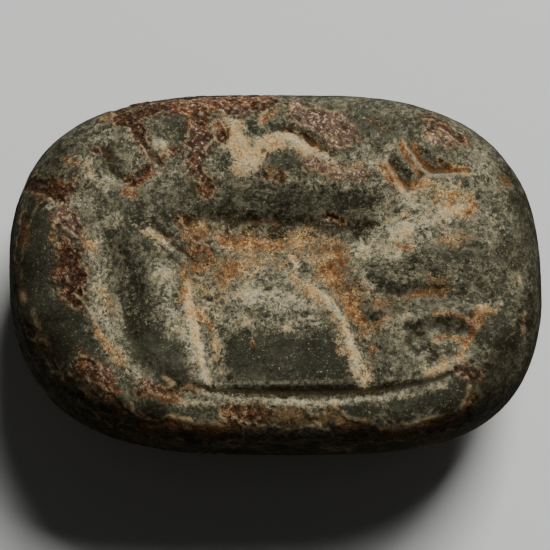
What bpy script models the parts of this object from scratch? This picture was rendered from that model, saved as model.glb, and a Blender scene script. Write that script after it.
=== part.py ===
"""Stamp seal of dark green stone.

One piece: a rounded oblong pebble with a low domed back, bored lengthwise for a string. Its flat
face is cut with a horned animal that stands on a ground line, worn soft by long use. The seal
lies on its back with the cut face up. Sizes are in millimetres, and the mesh is made in metres.
"""

import math

import bmesh
import bpy
import numpy as np

MM = 0.001

# The stone. Its widest ring, the girth, runs round it between the face and the back.
LENGTH = 40.0
WIDTH = 27.3
HEIGHT = 14.0
GIRTH_HEIGHT = 7.6
LEAN = 0.36                # how far the side edges shift towards +X at the front, -Y
END_POWER = 3.25           # fullness of the outline at its two ends
SIDE_POWER = 2.45          # fullness of the outline along its two sides
CORNER_FULLNESS = 0.45     # what the front right corner, +X -Y, adds to its end power
CORNER_FROM = 0.2          # how squarely a side must look to that corner before it adds any
FACE_POWER = 8.5           # how far the face stays flat before its shoulder
FRONT_SHARPNESS = 14.0     # what the front side, -Y, adds to that, for its sharper shoulder
FRONT_FROM = 0.5           # how squarely a side must look to -Y before that addition starts
FRONT_SPAN = 0.32          # and over how much more turning it comes in fully
SHOULDER_POWER = 2.6       # how softly the shoulder turns down to the girth
BACK_POWER = 2.4           # fullness of the domed back
BACK_DEPTH = 8.1           # depth the dome would have before its foot was ground flat
FACE_CROWN = 0.25          # the face's worn rim lies this much below its middle
CARVING_FADE = 0.6         # the cuts have their full depth from this share of the face's rise

# The string hole, drilled from both ends so that it narrows to the middle.
HOLE_HEIGHT = 5.7
HOLE_MOUTH_RADIUS = 1.8
HOLE_WAIST_RADIUS = 1.3
HOLE_SIDES = 20
DRILL_OVERRUN = 1.0        # the drill shape reaches this far past each end of the stone

# How the solid is faceted.
BLOCK_CUTS = 119
FACETS = 8800
FOOT_TRIM_DEPTH = 3.0
BLEND = 4.0                # larger keeps crossing cuts more distinct
SPLINE_STEPS = 6

STONE_COLOR = (0.075, 0.068, 0.046, 1.0)
STONE_ROUGHNESS = 0.5

# The cuts in the face. Each follows a path over the face, seen from above, in travel order. Its
# left and right walls reach that far from the path, it is this deep, its two ends narrow to these
# shares of its width, it is widest at `peak` of its run, and `keen` is 0 for a round wall and
# 1 for a wall that falls to a sharp bottom.
CUTS = {
    "back": dict(
        path=[(-6.4, 2.7), (-3.0, 3.0), (1.6, 2.7), (5.6, 2.2)],
        left=4.3, right=5.4, depth=1.65, ends=(0.62, 0.85), peak=0.5, keen=(0.9, 0.2),
    ),
    "belly": dict(
        path=[(-4.0, -0.6), (0.4, -1.0), (4.2, -0.8)],
        left=4.0, right=4.0, depth=0.5, ends=(0.75, 0.75), peak=0.5, keen=(0.0, 0.0),
    ),
    "thigh": dict(
        path=[(-8.8, 2.5), (-7.4, 1.2), (-5.9, -0.4)],
        left=0.8, right=1.9, depth=0.6, ends=(0.5, 0.8), peak=0.6, keen=(0.5, 0.5),
    ),
    "hind leg": dict(
        path=[(-6.6, 0.4), (-5.6, -2.4), (-4.8, -5.6), (-4.2, -9.3)],
        left=3.2, right=3.3, depth=0.95, ends=(0.7, 0.4), peak=0.35, keen=(0.0, 0.8),
    ),
    "tail": dict(
        path=[(-13.0, 3.2), (-11.7, -0.4), (-11.0, -4.0), (-9.4, -8.7)],
        left=2.6, right=2.5, depth=1.05, ends=(0.5, 0.4), peak=0.5, keen=(0.3, 0.3),
    ),
    "fore leg": dict(
        path=[(2.6, 0.1), (4.6, -2.4), (6.3, -5.4), (6.9, -9.6)],
        left=2.1, right=1.8, depth=0.7, ends=(0.45, 0.6), peak=0.6, keen=(0.1, 0.5),
    ),
    "raised leg": dict(
        path=[(6.2, -2.5), (9.2, -2.6), (12.6, -2.7), (15.4, -3.3)],
        left=2.9, right=2.4, depth=0.8, ends=(0.85, 0.4), peak=0.4, keen=(0.8, 0.3),
    ),
    "neck and head": dict(
        path=[(5.4, 0.6), (8.4, 2.4), (11.6, 3.8), (14.6, 3.4)],
        left=3.4, right=3.0, depth=0.5, ends=(0.7, 0.6), peak=0.5, keen=(0.0, 0.3),
    ),
    "near horn": dict(
        path=[(8.6, 6.9), (10.0, 5.1), (10.8, 6.2)],
        left=1.3, right=0.6, depth=0.54, ends=(0.6, 0.6), peak=0.5, keen=(0.4, 0.4),
    ),
    "far horn": dict(
        path=[(10.0, 8.3), (11.3, 6.7), (12.5, 6.5), (14.2, 6.5)],
        left=1.5, right=0.5, depth=0.62, ends=(0.55, 0.5), peak=0.4, keen=(0.4, 0.5),
    ),
    "pit before the legs": dict(
        path=[(10.9, -5.1), (12.4, -5.3), (14.0, -5.8)],
        left=1.1, right=2.4, depth=0.5, ends=(0.6, 0.75), peak=0.6, keen=(0.15, 0.0),
    ),
    "pit beside it": dict(
        path=[(9.5, -5.2), (10.3, -6.2), (11.4, -7.2)],
        left=1.2, right=1.6, depth=0.38, ends=(0.6, 0.6), peak=0.4, keen=(0.1, 0.0),
    ),
    "ground line": dict(
        path=[(-7.0, -9.7), (-1.5, -10.1), (4.8, -10.1), (11.0, -9.4), (14.2, -7.9)],
        left=0.75, right=0.85, depth=0.46, ends=(0.55, 0.4), peak=0.5, keen=(0.3, 0.6),
    ),
    "nick behind the back": dict(
        path=[(-12.6, 8.0), (-11.9, 6.4), (-10.5, 5.4)],
        left=1.4, right=0.9, depth=0.48, ends=(0.6, 0.5), peak=0.5, keen=(0.2, 0.5),
    ),
    "notch by the muzzle": dict(
        path=[(13.9, -1.6), (14.9, -2.2), (15.8, -3.0)],
        left=0.8, right=0.7, depth=0.24, ends=(0.6, 0.6), peak=0.5, keen=(0.1, 0.2),
    ),
    "chipped hollow": dict(
        path=[(0.7, 9.8), (2.4, 8.9), (4.2, 7.7)],
        left=1.1, right=1.1, depth=0.4, ends=(0.7, 0.6), peak=0.5, keen=(0.4, 0.4),
    ),
}


def clear_scene():
    for thing in list(bpy.data.objects):
        bpy.data.objects.remove(thing, do_unlink=True)


def new_collection(name):
    collection = bpy.data.collections.new(name)
    bpy.context.scene.collection.children.link(collection)
    return collection


def stone_material():
    material = bpy.data.materials.new("dark green stone")
    material.use_nodes = True
    shader = material.node_tree.nodes["Principled BSDF"]
    shader.inputs["Base Color"].default_value = STONE_COLOR
    shader.inputs["Roughness"].default_value = STONE_ROUGHNESS
    shader.inputs["Metallic"].default_value = 0.0
    return material


def smooth(share):
    """0 to 1 with level ends."""
    share = np.clip(share, 0.0, 1.0)
    return share * share * (3.0 - 2.0 * share)


def outline_share(x, y):
    """How far a point lies from the middle to the outline: 0 in the middle, 1 on the girth.

    The outline is a superellipse with one power for its ends and one for its sides, sheared a
    little and fuller at one corner, so the share r solves (x / rx)^end + (y / ry)^side = 1 by
    Newton's steps.
    """
    across = (x + LEAN * y / (WIDTH / 2)) / (LENGTH / 2)
    along = y / (WIDTH / 2)
    to_corner = (across - along) / (np.hypot(across, along) + 1e-9)
    end_power = END_POWER + CORNER_FULLNESS * smooth(to_corner - CORNER_FROM)
    across = np.abs(across)
    along = np.abs(along)
    share = np.maximum(across, along) + 1e-9
    for _ in range(10):
        end = (across / share) ** end_power
        side = (along / share) ** SIDE_POWER
        share += share * (end + side - 1.0) / (end_power * end + SIDE_POWER * side)
    return share


def face_power(x, y):
    """The power that keeps the face flat to its shoulder, growing towards the front, -Y."""
    along = y / (WIDTH / 2)
    to_front = -along / (np.hypot(x / (LENGTH / 2), along) + 1e-9)
    return FACE_POWER + FRONT_SHARPNESS * smooth((to_front - FRONT_FROM) / FRONT_SPAN)


def spline(points):
    """Catmull-Rom curve through the points, SPLINE_STEPS steps to each span."""
    points = np.array(points, float)
    padded = np.vstack([2 * points[0] - points[1], points, 2 * points[-1] - points[-2]])
    t = np.arange(SPLINE_STEPS)[:, None] / SPLINE_STEPS
    spans = []
    for a, b, c, d in zip(padded, padded[1:], padded[2:], padded[3:]):
        square = (2 * a - 5 * b + 4 * c - d) * t ** 2
        cube = (3 * b - a - 3 * c + d) * t ** 3
        spans.append(0.5 * (2 * b + (c - a) * t + square + cube))
    return np.vstack(spans + [points[-1:]])


def along_path(path, x, y):
    """Distance to the path, share of its run there, and side: 1 on its left, -1 on its right."""
    legs = np.hypot(*np.diff(path, axis=0).T)
    starts = np.concatenate([[0.0], np.cumsum(legs)])
    near = np.full(x.shape, np.inf)
    run = np.zeros(x.shape)
    side = np.zeros(x.shape)
    for first, last, leg, start in zip(path, path[1:], legs, starts):
        heading = (last - first) / leg
        step = np.clip((x - first[0]) * heading[0] + (y - first[1]) * heading[1], 0.0, leg)
        dx = x - first[0] - step * heading[0]
        dy = y - first[1] - step * heading[1]
        gap = np.hypot(dx, dy)
        closer = gap < near
        near = np.where(closer, gap, near)
        run = np.where(closer, (start + step) / starts[-1], run)
        side = np.where(closer, heading[0] * dy - heading[1] * dx, side)
    return near, run, side / np.maximum(near, 1e-6)


def cut_depth(x, y, path, left, right, depth, ends, peak, keen):
    """Depth of one worn cut, swelling from its ends to its peak, with unlike walls."""
    near, run, side = along_path(spline(path), x, y)
    rise = ends[0] + (1.0 - ends[0]) * smooth(run / peak)
    fall = ends[1] + (1.0 - ends[1]) * smooth((1.0 - run) / (1.0 - peak))
    swell = np.where(run < peak, rise, fall)
    leftness = smooth(0.5 + 0.5 * side)
    reach = swell * (right + (left - right) * leftness)
    edge = keen[1] + (keen[0] - keen[1]) * leftness
    away = np.clip(near / reach, 0.0, 1.0)
    wall = (1.0 - edge) * (1.0 - away ** 2) ** 2 + edge * (1.0 - away) ** 1.6
    return depth * swell ** 1.5 * wall


def carved_depth(x, y):
    """Depth of all the cuts together; where two cross, the deeper one wins softly."""
    total = np.zeros(x.shape)
    for cut in CUTS.values():
        total += np.expm1(BLEND * cut_depth(x, y, **cut))
    return np.log1p(total) / BLEND


def rounded(points):
    """Draw points in towards the middle of the girth until they lie on the rounded pebble.

    Above the girth share^face + rise^shoulder = 1, and below it share^back + drop^2 = 1. The
    share grows in step with the distance from the middle, so halving finds each point's place.
    """
    share = outline_share(points[:, 0], points[:, 1])
    up = points[:, 2] > 0.0
    rise = np.abs(points[:, 2]) / np.where(up, HEIGHT - GIRTH_HEIGHT, BACK_DEPTH)
    flat = np.where(up, face_power(points[:, 0], points[:, 1]), BACK_POWER)
    steep = np.where(up, SHOULDER_POWER, 2.0)
    low = np.zeros(len(points))
    high = np.ones(len(points)) * 2.0
    for _ in range(40):
        half = (low + high) / 2
        outside = (half * share) ** flat + (half * rise) ** steep > 1.0
        high = np.where(outside, half, high)
        low = np.where(outside, low, half)
    return points * low[:, None]


def carved(points):
    """Lower the face by its worn crown and by the cuts, fading out at the girth."""
    share = outline_share(points[:, 0], points[:, 1])
    height = np.clip(points[:, 2] / (HEIGHT - GIRTH_HEIGHT), 0.0, 1.0)
    depth = carved_depth(points[:, 0], points[:, 1]) + FACE_CROWN * share ** 2
    points[:, 2] -= depth * smooth(height / CARVING_FADE)
    return points


def stone_body(collection):
    """A block cut into a fine grid, rounded to a pebble, carved, and thinned to its facets."""
    form = bmesh.new()
    bmesh.ops.create_cube(form, size=2.0)
    bmesh.ops.subdivide_edges(form, edges=form.edges[:], cuts=BLOCK_CUTS, use_grid_fill=True)
    block = np.array([vertex.co[:] for vertex in form.verts])
    half_sizes = (LENGTH / 2, WIDTH / 2, HEIGHT - GIRTH_HEIGHT)
    points = carved(rounded(block * half_sizes))
    points[:, 2] += GIRTH_HEIGHT
    for vertex, point in zip(form.verts, points * MM):
        vertex.co = point
    bmesh.ops.recalc_face_normals(form, faces=form.faces[:])

    mesh = bpy.data.meshes.new("seal")
    form.to_mesh(mesh)
    form.free()
    mesh.shade_smooth()
    seal = bpy.data.objects.new("seal", mesh)
    collection.objects.link(seal)
    seal.data.materials.append(stone_material())

    thin = seal.modifiers.new("facets", "DECIMATE")
    thin.decimate_type = "COLLAPSE"
    thin.ratio = FACETS / (2 * len(mesh.polygons))
    return seal


def string_hole_cutter(collection):
    """A turned drill shape: wide at both ends of the stone and narrow in its middle."""
    reach = LENGTH / 2 + DRILL_OVERRUN
    profile = [
        (0.0, reach),
        (HOLE_MOUTH_RADIUS, reach),
        (HOLE_WAIST_RADIUS, 0.0),
        (HOLE_MOUTH_RADIUS, -reach),
        (0.0, -reach),
    ]
    mesh = bpy.data.meshes.new("string hole")
    points = [(radius * MM, 0.0, height * MM) for radius, height in profile]
    mesh.from_pydata(points, [(i, i + 1) for i in range(len(points) - 1)], [])
    cutter = bpy.data.objects.new("string hole", mesh)
    collection.objects.link(cutter)
    turn = cutter.modifiers.new("turn", "SCREW")
    turn.steps = HOLE_SIDES
    turn.render_steps = HOLE_SIDES
    turn.use_merge_vertices = True
    turn.merge_threshold = 0.00001
    cutter.rotation_euler = (0.0, math.pi / 2, 0.0)
    cutter.location = (0.0, 0.0, HOLE_HEIGHT * MM)
    return cutter


def foot_cutter(collection):
    """The slab below the foot plane, whose top face grinds the dome flat."""
    form = bmesh.new()
    bmesh.ops.create_cube(form, size=1.0)
    sizes = (LENGTH * MM, WIDTH * MM, FOOT_TRIM_DEPTH * MM)
    bmesh.ops.scale(form, vec=sizes, verts=form.verts[:])
    mesh = bpy.data.meshes.new("foot plane")
    form.to_mesh(mesh)
    form.free()
    cutter = bpy.data.objects.new("foot plane", mesh)
    collection.objects.link(cutter)
    cutter.location = (0.0, 0.0, -FOOT_TRIM_DEPTH / 2 * MM)
    return cutter


def cut(piece, cutter):
    cutter.hide_render = True
    cutter.display_type = "WIRE"
    boolean = piece.modifiers.new(cutter.name, "BOOLEAN")
    boolean.operation = "DIFFERENCE"
    boolean.solver = "EXACT"
    boolean.object = cutter


def main():
    clear_scene()
    parts = new_collection("stamp seal")
    cutters = new_collection("cutters")
    seal = stone_body(parts)
    cut(seal, string_hole_cutter(cutters))
    cut(seal, foot_cutter(cutters))


main()
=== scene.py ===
# %% [markdown]
# # A stamp seal of dark green stone
#
# The object is one piece of stone, rounded like a pebble and small enough to hold between two
# fingers. Its flat face is cut with a horned animal over a ground line, and a string ran through
# it lengthwise. Long use and long burial have softened the cuts and left chalky wear, rust
# coloured stain and a brown, pitted crust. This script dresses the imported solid: it makes one
# fine mesh of the same form, adds the small relief that the solid leaves out, and paints the
# patina by procedural nodes.

# %% Load the frame
import math

import bpy
import numpy as np
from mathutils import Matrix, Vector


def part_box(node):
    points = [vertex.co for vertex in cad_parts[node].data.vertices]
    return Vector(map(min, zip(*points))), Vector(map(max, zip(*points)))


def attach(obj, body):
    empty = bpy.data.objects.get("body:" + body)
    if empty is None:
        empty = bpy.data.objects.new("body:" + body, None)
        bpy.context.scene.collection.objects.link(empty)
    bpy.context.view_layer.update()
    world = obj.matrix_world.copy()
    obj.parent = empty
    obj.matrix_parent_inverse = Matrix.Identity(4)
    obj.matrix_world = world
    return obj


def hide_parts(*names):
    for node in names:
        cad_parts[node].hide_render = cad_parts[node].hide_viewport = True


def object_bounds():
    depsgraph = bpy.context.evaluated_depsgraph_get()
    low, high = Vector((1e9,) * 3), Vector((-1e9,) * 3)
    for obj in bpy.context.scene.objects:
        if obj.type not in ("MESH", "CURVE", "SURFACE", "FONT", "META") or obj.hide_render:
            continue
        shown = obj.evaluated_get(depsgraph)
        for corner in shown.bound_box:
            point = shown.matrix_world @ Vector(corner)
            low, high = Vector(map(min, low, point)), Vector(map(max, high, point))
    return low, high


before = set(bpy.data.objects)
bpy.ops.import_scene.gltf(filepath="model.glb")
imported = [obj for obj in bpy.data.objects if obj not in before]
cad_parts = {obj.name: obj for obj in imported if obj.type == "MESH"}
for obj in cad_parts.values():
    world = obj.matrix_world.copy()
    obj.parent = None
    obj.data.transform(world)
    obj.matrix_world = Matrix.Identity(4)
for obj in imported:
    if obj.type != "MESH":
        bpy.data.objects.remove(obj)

MM = 0.001

cad_low, cad_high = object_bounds()
node_low, node_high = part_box("seal")
print("solid's box in mm:", [round(side / MM, 2) for side in (node_high - node_low)])

# %% [markdown]
# ## The form of the stone
#
# The seal is a pebble with a flat face. It could be sculpted, or turned from a cage with
# Subdivision Surface, but the solid it must match is worked out from a formula, so the same
# formula is used here. Seen from above the outline is a superellipse: fuller than an ellipse,
# softer than a rectangle. Above its widest ring, the girth, a high power keeps the face flat
# almost to its shoulder; below the girth a low power rounds the back.

# %% Driving sizes, in millimetres
LENGTH = 40.0
WIDTH = 27.3
HEIGHT = 14.0
GIRTH_HEIGHT = 7.6
FACE_RISE = HEIGHT - GIRTH_HEIGHT
LEAN = 0.36                # how far the side edges shift towards +X at the front, -Y
END_POWER = 3.25           # fullness of the outline at its two ends
SIDE_POWER = 2.45          # fullness of the outline along its two sides
CORNER_FULLNESS = 0.45     # what the front right corner adds to its end power
CORNER_FROM = 0.2          # how squarely a side must look to that corner before it adds any
FACE_POWER = 8.5           # how far the face stays flat before its shoulder
FRONT_SHARPNESS = 14.0     # what the front side adds to that, for its sharper shoulder
FRONT_FROM = 0.5           # how squarely a side must look to the front before that starts
FRONT_SPAN = 0.32          # and over how much more turning it comes in fully
SHOULDER_POWER = 2.6       # how softly the shoulder turns down to the girth
BACK_POWER = 2.4           # fullness of the domed back
BACK_DEPTH = 8.1           # depth the dome would have before its foot was ground flat
FACE_CROWN = 0.25          # the face's worn rim lies this much below its middle
CARVING_FADE = 0.6         # the cuts have their full depth from this share of the face's rise

HOLE_HEIGHT = 5.7
HOLE_MOUTH_RADIUS = 1.8
HOLE_WAIST_RADIUS = 1.3
DRILL_OVERRUN = 1.0        # the drill reached this far past each end of the stone
print("face stands", round(FACE_RISE, 2), "mm above the girth")

# %% The outline
TINY = 1e-6                # stands in for 0 where something is divided by it


def smooth(share):
    """0 to 1 with level ends: 3 t squared minus 2 t cubed."""
    share = np.clip(share, 0.0, 1.0)
    return share * share * (3.0 - 2.0 * share)


def outline_share(x, y):
    """How far a point lies from the middle to the outline: 0 in the middle, 1 on the girth.

    The share r solves (x / rx)^end + (y / ry)^side = 1 by Newton's steps, where x is sheared a
    little by y, and the end power grows towards the front right corner.
    """
    across = (x + LEAN * y / (WIDTH / 2)) / (LENGTH / 2)
    along = y / (WIDTH / 2)
    to_corner = (across - along) / (np.hypot(across, along) + TINY)
    end_power = END_POWER + CORNER_FULLNESS * smooth(to_corner - CORNER_FROM)
    across = np.maximum(np.abs(across), TINY)
    along = np.abs(along)
    share = np.maximum(across, along)
    for _ in range(8):
        end = (across / share) ** end_power
        side = (along / share) ** SIDE_POWER
        share += share * (end + side - 1.0) / (end_power * end + SIDE_POWER * side)
    return share


def face_power(x, y):
    """FACE_POWER, and towards the front, -Y, up to FRONT_SHARPNESS more: a higher power keeps
    the face flat for longer and makes its shoulder sharper."""
    along = y / (WIDTH / 2)
    to_front = -along / (np.hypot(x / (LENGTH / 2), along) + TINY)
    return FACE_POWER + FRONT_SHARPNESS * smooth((to_front - FRONT_FROM) / FRONT_SPAN)


print("outline share at the right end:", outline_share(np.array([20.0]), np.array([0.0])).round(3))

# %% The skin found along rays
def is_outside(x, y, z):
    """True beyond the stone: above the girth share^face + rise^shoulder is over 1, and below it
    share^back + drop^2 is, where rise and drop are shares of the height and depth."""
    share = outline_share(x, y)
    lift = z - GIRTH_HEIGHT
    up = lift > 0.0
    rise = np.abs(lift) / np.where(up, FACE_RISE, BACK_DEPTH)
    flat = np.where(up, face_power(x, y), BACK_POWER)
    steep = np.where(up, SHOULDER_POWER, 2.0)
    return share ** flat + rise ** steep > 1.0


def reach_skin(start, heading, longest=30.0, halvings=24):
    """The point where each ray leaves the stone, by halving the stretch that holds it."""
    near = np.zeros(start.shape[:-1])
    far = np.full(start.shape[:-1], longest)
    for _ in range(halvings):
        half = (near + far) / 2
        point = start + half[..., None] * heading
        outside = is_outside(point[..., 0], point[..., 1], point[..., 2])
        far = np.where(outside, half, far)
        near = np.where(outside, near, half)
    return start + near[..., None] * heading


up_ray = reach_skin(np.array([[0.0, 0.0, HOLE_HEIGHT]]), np.array([[0.0, 0.0, 1.0]]))
print("skin straight above the hole at z =", up_ray[0, 2].round(2), "mm")

# %% [markdown]
# ## One closed grid
#
# A ball-like grid has poles, where faces crowd together. This stone is bored through, and a
# bored stone has the shape of a ring, so one grid can wrap it with no pole at all: its rings
# run from the left mouth of the hole, over the outside to the right mouth, and back through the
# hole. Each outside point lies on a ray that starts on the hole's axis. Near the ends the rays
# fan out, so that the last one meets the edge of the mouth. Rings and spokes are spaced by
# length along the skin, closer on the face, which holds the detail, than on the back.

# %% Rays from the hole's axis
STRAIGHT_REACH = 15.0      # up to here the rays stand square to the axis
FAN_REACH = 17.6           # the last rays start here
FAN_FROM = 0.75            # the rays start to tip at this share of the way to a mouth
LIP = 0.14                 # the worn edge of the mouth is this much wider than the hole
X, Y, Z = 0, 1, 2


def hole_radius(x):
    """The drilled radius at x: it grows evenly from the waist to the drill's full reach."""
    drill_reach = LENGTH / 2 + DRILL_OVERRUN
    return HOLE_WAIST_RADIUS + (HOLE_MOUTH_RADIUS - HOLE_WAIST_RADIUS) * np.abs(x) / drill_reach


def round_axis(x, radius, turn):
    """Points at a radius round the hole's axis; turn is 0 at +Y and a quarter turn at +Z."""
    x, radius, turn = np.broadcast_arrays(x, radius, turn)
    return np.stack([x, radius * np.cos(turn), HOLE_HEIGHT + radius * np.sin(turn)], axis=-1)


def mouth_edge(side, turn):
    """The worn edge of the hole on one end, side being -1 or 1, where it meets the skin."""
    radius = hole_radius(LENGTH / 2) + LIP
    start = round_axis(side * FAN_REACH, radius, turn)
    heading = np.zeros(start.shape)
    heading[..., X] = side
    return reach_skin(start, heading, longest=6.0)


def outside_skin(way, turn):
    """Skin point for a way from -1, the left mouth, to 1, the right mouth, and a turn.

    Up to FAN_FROM the start of the ray slides along the axis. Beyond it, the start slows down
    while the ray tips from square towards the mouth's edge.
    """
    side = np.sign(way)
    straight = np.clip(np.abs(way) / FAN_FROM, 0.0, 1.0)
    fan = np.clip((np.abs(way) - FAN_FROM) / (1.0 - FAN_FROM), 0.0, 1.0)
    start_x = side * (STRAIGHT_REACH * straight + (FAN_REACH - STRAIGHT_REACH) * fan * (2 - fan))
    edge = np.where(side[..., None] > 0, mouth_edge(1.0, turn), mouth_edge(-1.0, turn))
    run = np.abs(edge[..., X]) - FAN_REACH
    tip_end = np.arctan2(hole_radius(LENGTH / 2) + LIP, run)
    tip = math.pi / 2 - (math.pi / 2 - tip_end) * fan ** 1.5
    start = round_axis(start_x, 0.0, turn)
    heading = round_axis(side * np.cos(tip), np.sin(tip), turn)
    heading[..., Z] -= HOLE_HEIGHT
    return reach_skin(start, heading)


mouths = mouth_edge(1.0, np.array([math.pi / 2, -math.pi / 2]))
print("right mouth of the hole from z =", mouths[1, Z].round(2), "to", mouths[0, Z].round(2), "mm")

# %% Rings and spokes, spaced by length along the skin
RINGS_OUTSIDE = 326
RINGS_INSIDE = 26
SPOKES = 280
BACK_SPOKE_WEIGHT = 0.32   # a length on the back counts this much when spokes are shared out
BACK_RING_WEIGHT = 0.5     # and this much when rings are


def spaced(values, points, weight, count, closed=False):
    """Pick values so that the points on the skin are evenly spaced by length times weight."""
    steps = np.linalg.norm(np.diff(points, axis=0), axis=1) * (weight[1:] + weight[:-1]) / 2
    run = np.concatenate([[0.0], np.cumsum(steps)])
    marks = np.linspace(0.0, run[-1], count, endpoint=not closed)
    return np.interp(marks, run, values)


def face_weight(points, on_back, start, span):
    """Weight of a length of skin: on_back low down, and 1 from start + span upwards."""
    return on_back + (1.0 - on_back) * smooth((points[:, Z] - start) / span)


turn_trial = np.linspace(-math.pi, math.pi, 721) - math.pi / 2
section = outside_skin(np.full(turn_trial.shape, TINY), turn_trial)
section_weight = face_weight(section, BACK_SPOKE_WEIGHT, start=5.0, span=6.0)
turns = spaced(turn_trial, section, section_weight, SPOKES, closed=True)

way_trial = np.linspace(-1.0, 1.0, 1200)
top_line = outside_skin(way_trial, np.full(way_trial.shape, math.pi / 2))
top_weight = face_weight(top_line, BACK_RING_WEIGHT, start=8.0, span=5.0)
ways = spaced(way_trial, top_line, top_weight, RINGS_OUTSIDE)
print("rings outside:", len(ways), "spokes:", len(turns))

# %% The whole grid, outside and hole
WORN_FROM = 0.975          # the hole widens to its lip beyond this share of the way to a mouth

way_grid, turn_grid = np.meshgrid(ways, turns, indexing="ij")
outside = outside_skin(way_grid, turn_grid)

right_edge = mouth_edge(1.0, turns)
left_edge = mouth_edge(-1.0, turns)
through = np.cos(np.linspace(0.0, math.pi, RINGS_INSIDE + 2)[1:-1])[:, None]
inside_x = np.where(through > 0, through * right_edge[None, :, X], -through * left_edge[None, :, X])
to_mouth = smooth((np.abs(through) - WORN_FROM) / (1.0 - WORN_FROM))
inside = round_axis(inside_x, hole_radius(inside_x) + LIP * to_mouth ** 2, turns[None, :])

form = np.concatenate([outside, inside])
is_hole = np.zeros(form.shape[:2], bool)
is_hole[RINGS_OUTSIDE:] = True
spacing = np.linalg.norm(np.diff(outside[:, SPOKES // 2], axis=0), axis=1)
print("grid", form.shape[:2], "ring spacing on the face", spacing[len(spacing) // 2].round(3), "mm")

# %% [markdown]
# ## The cuts
#
# The carver ground the animal into the face with a drill and gravers: one long scoop for the
# trunk, grooves for the legs, tail and ground line, and short nicks for the horns. Each cut is
# a path with unlike walls, because a graver held at a slant leaves a steep wall and a gentle
# one. Boolean cutters would leave edges as sharp as new, so the depth of all the cuts is summed
# as a smooth field instead, and the face is lowered by it. That is how wear looks.

# %% The cuts in the face
# Each path runs in millimetres over the face. Left and right are the reaches of its two walls,
# depth is how deep it goes at its peak, ends are the shares of its size left at either end, peak
# is where along the path it is largest, and keen says how sharp its left and right walls are.
CUTS = {
    "back": dict(
        path=[(-6.4, 2.7), (-3.0, 3.0), (1.6, 2.7), (5.6, 2.2)],
        left=4.3, right=5.4, depth=1.65, ends=(0.62, 0.85), peak=0.5, keen=(0.9, 0.2),
    ),
    "belly": dict(
        path=[(-4.0, -0.6), (0.4, -1.0), (4.2, -0.8)],
        left=4.0, right=4.0, depth=0.5, ends=(0.75, 0.75), peak=0.5, keen=(0.0, 0.0),
    ),
    "thigh": dict(
        path=[(-8.8, 2.5), (-7.4, 1.2), (-5.9, -0.4)],
        left=0.8, right=1.9, depth=0.6, ends=(0.5, 0.8), peak=0.6, keen=(0.5, 0.5),
    ),
    "hind leg": dict(
        path=[(-6.6, 0.4), (-5.6, -2.4), (-4.8, -5.6), (-4.2, -9.3)],
        left=3.2, right=3.3, depth=0.95, ends=(0.7, 0.4), peak=0.35, keen=(0.0, 0.8),
    ),
    "tail": dict(
        path=[(-13.0, 3.2), (-11.7, -0.4), (-11.0, -4.0), (-9.4, -8.7)],
        left=2.6, right=2.5, depth=1.05, ends=(0.5, 0.4), peak=0.5, keen=(0.3, 0.3),
    ),
    "fore leg": dict(
        path=[(2.6, 0.1), (4.6, -2.4), (6.3, -5.4), (6.9, -9.6)],
        left=2.1, right=1.8, depth=0.7, ends=(0.45, 0.6), peak=0.6, keen=(0.1, 0.5),
    ),
    "raised leg": dict(
        path=[(6.2, -2.5), (9.2, -2.6), (12.6, -2.7), (15.4, -3.3)],
        left=2.9, right=2.4, depth=0.8, ends=(0.85, 0.4), peak=0.4, keen=(0.8, 0.3),
    ),
    "neck and head": dict(
        path=[(5.4, 0.6), (8.4, 2.4), (11.6, 3.8), (14.6, 3.4)],
        left=3.4, right=3.0, depth=0.5, ends=(0.7, 0.6), peak=0.5, keen=(0.0, 0.3),
    ),
    "near horn": dict(
        path=[(8.6, 6.9), (10.0, 5.1), (10.8, 6.2)],
        left=1.3, right=0.6, depth=0.54, ends=(0.6, 0.6), peak=0.5, keen=(0.4, 0.4),
    ),
    "far horn": dict(
        path=[(10.0, 8.3), (11.3, 6.7), (12.5, 6.5), (14.2, 6.5)],
        left=1.5, right=0.5, depth=0.62, ends=(0.55, 0.5), peak=0.4, keen=(0.4, 0.5),
    ),
    "pit before the legs": dict(
        path=[(10.9, -5.1), (12.4, -5.3), (14.0, -5.8)],
        left=1.1, right=2.4, depth=0.5, ends=(0.6, 0.75), peak=0.6, keen=(0.15, 0.0),
    ),
    "pit beside it": dict(
        path=[(9.5, -5.2), (10.3, -6.2), (11.4, -7.2)],
        left=1.2, right=1.6, depth=0.38, ends=(0.6, 0.6), peak=0.4, keen=(0.1, 0.0),
    ),
    "ground line": dict(
        path=[(-7.0, -9.7), (-1.5, -10.1), (4.8, -10.1), (11.0, -9.4), (14.2, -7.9)],
        left=0.75, right=0.85, depth=0.46, ends=(0.55, 0.4), peak=0.5, keen=(0.3, 0.6),
    ),
    "nick behind the back": dict(
        path=[(-12.6, 8.0), (-11.9, 6.4), (-10.5, 5.4)],
        left=1.4, right=0.9, depth=0.48, ends=(0.6, 0.5), peak=0.5, keen=(0.2, 0.5),
    ),
    "notch by the muzzle": dict(
        path=[(13.9, -1.6), (14.9, -2.2), (15.8, -3.0)],
        left=0.8, right=0.7, depth=0.24, ends=(0.6, 0.6), peak=0.5, keen=(0.1, 0.2),
    ),
    "chipped hollow": dict(
        path=[(0.7, 9.8), (2.4, 8.9), (4.2, 7.7)],
        left=1.1, right=1.1, depth=0.4, ends=(0.7, 0.6), peak=0.5, keen=(0.4, 0.4),
    ),
}
print(len(CUTS), "cuts")

# %% Distance along a path
SPLINE_STEPS = 6
DOT = 0.01


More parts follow.
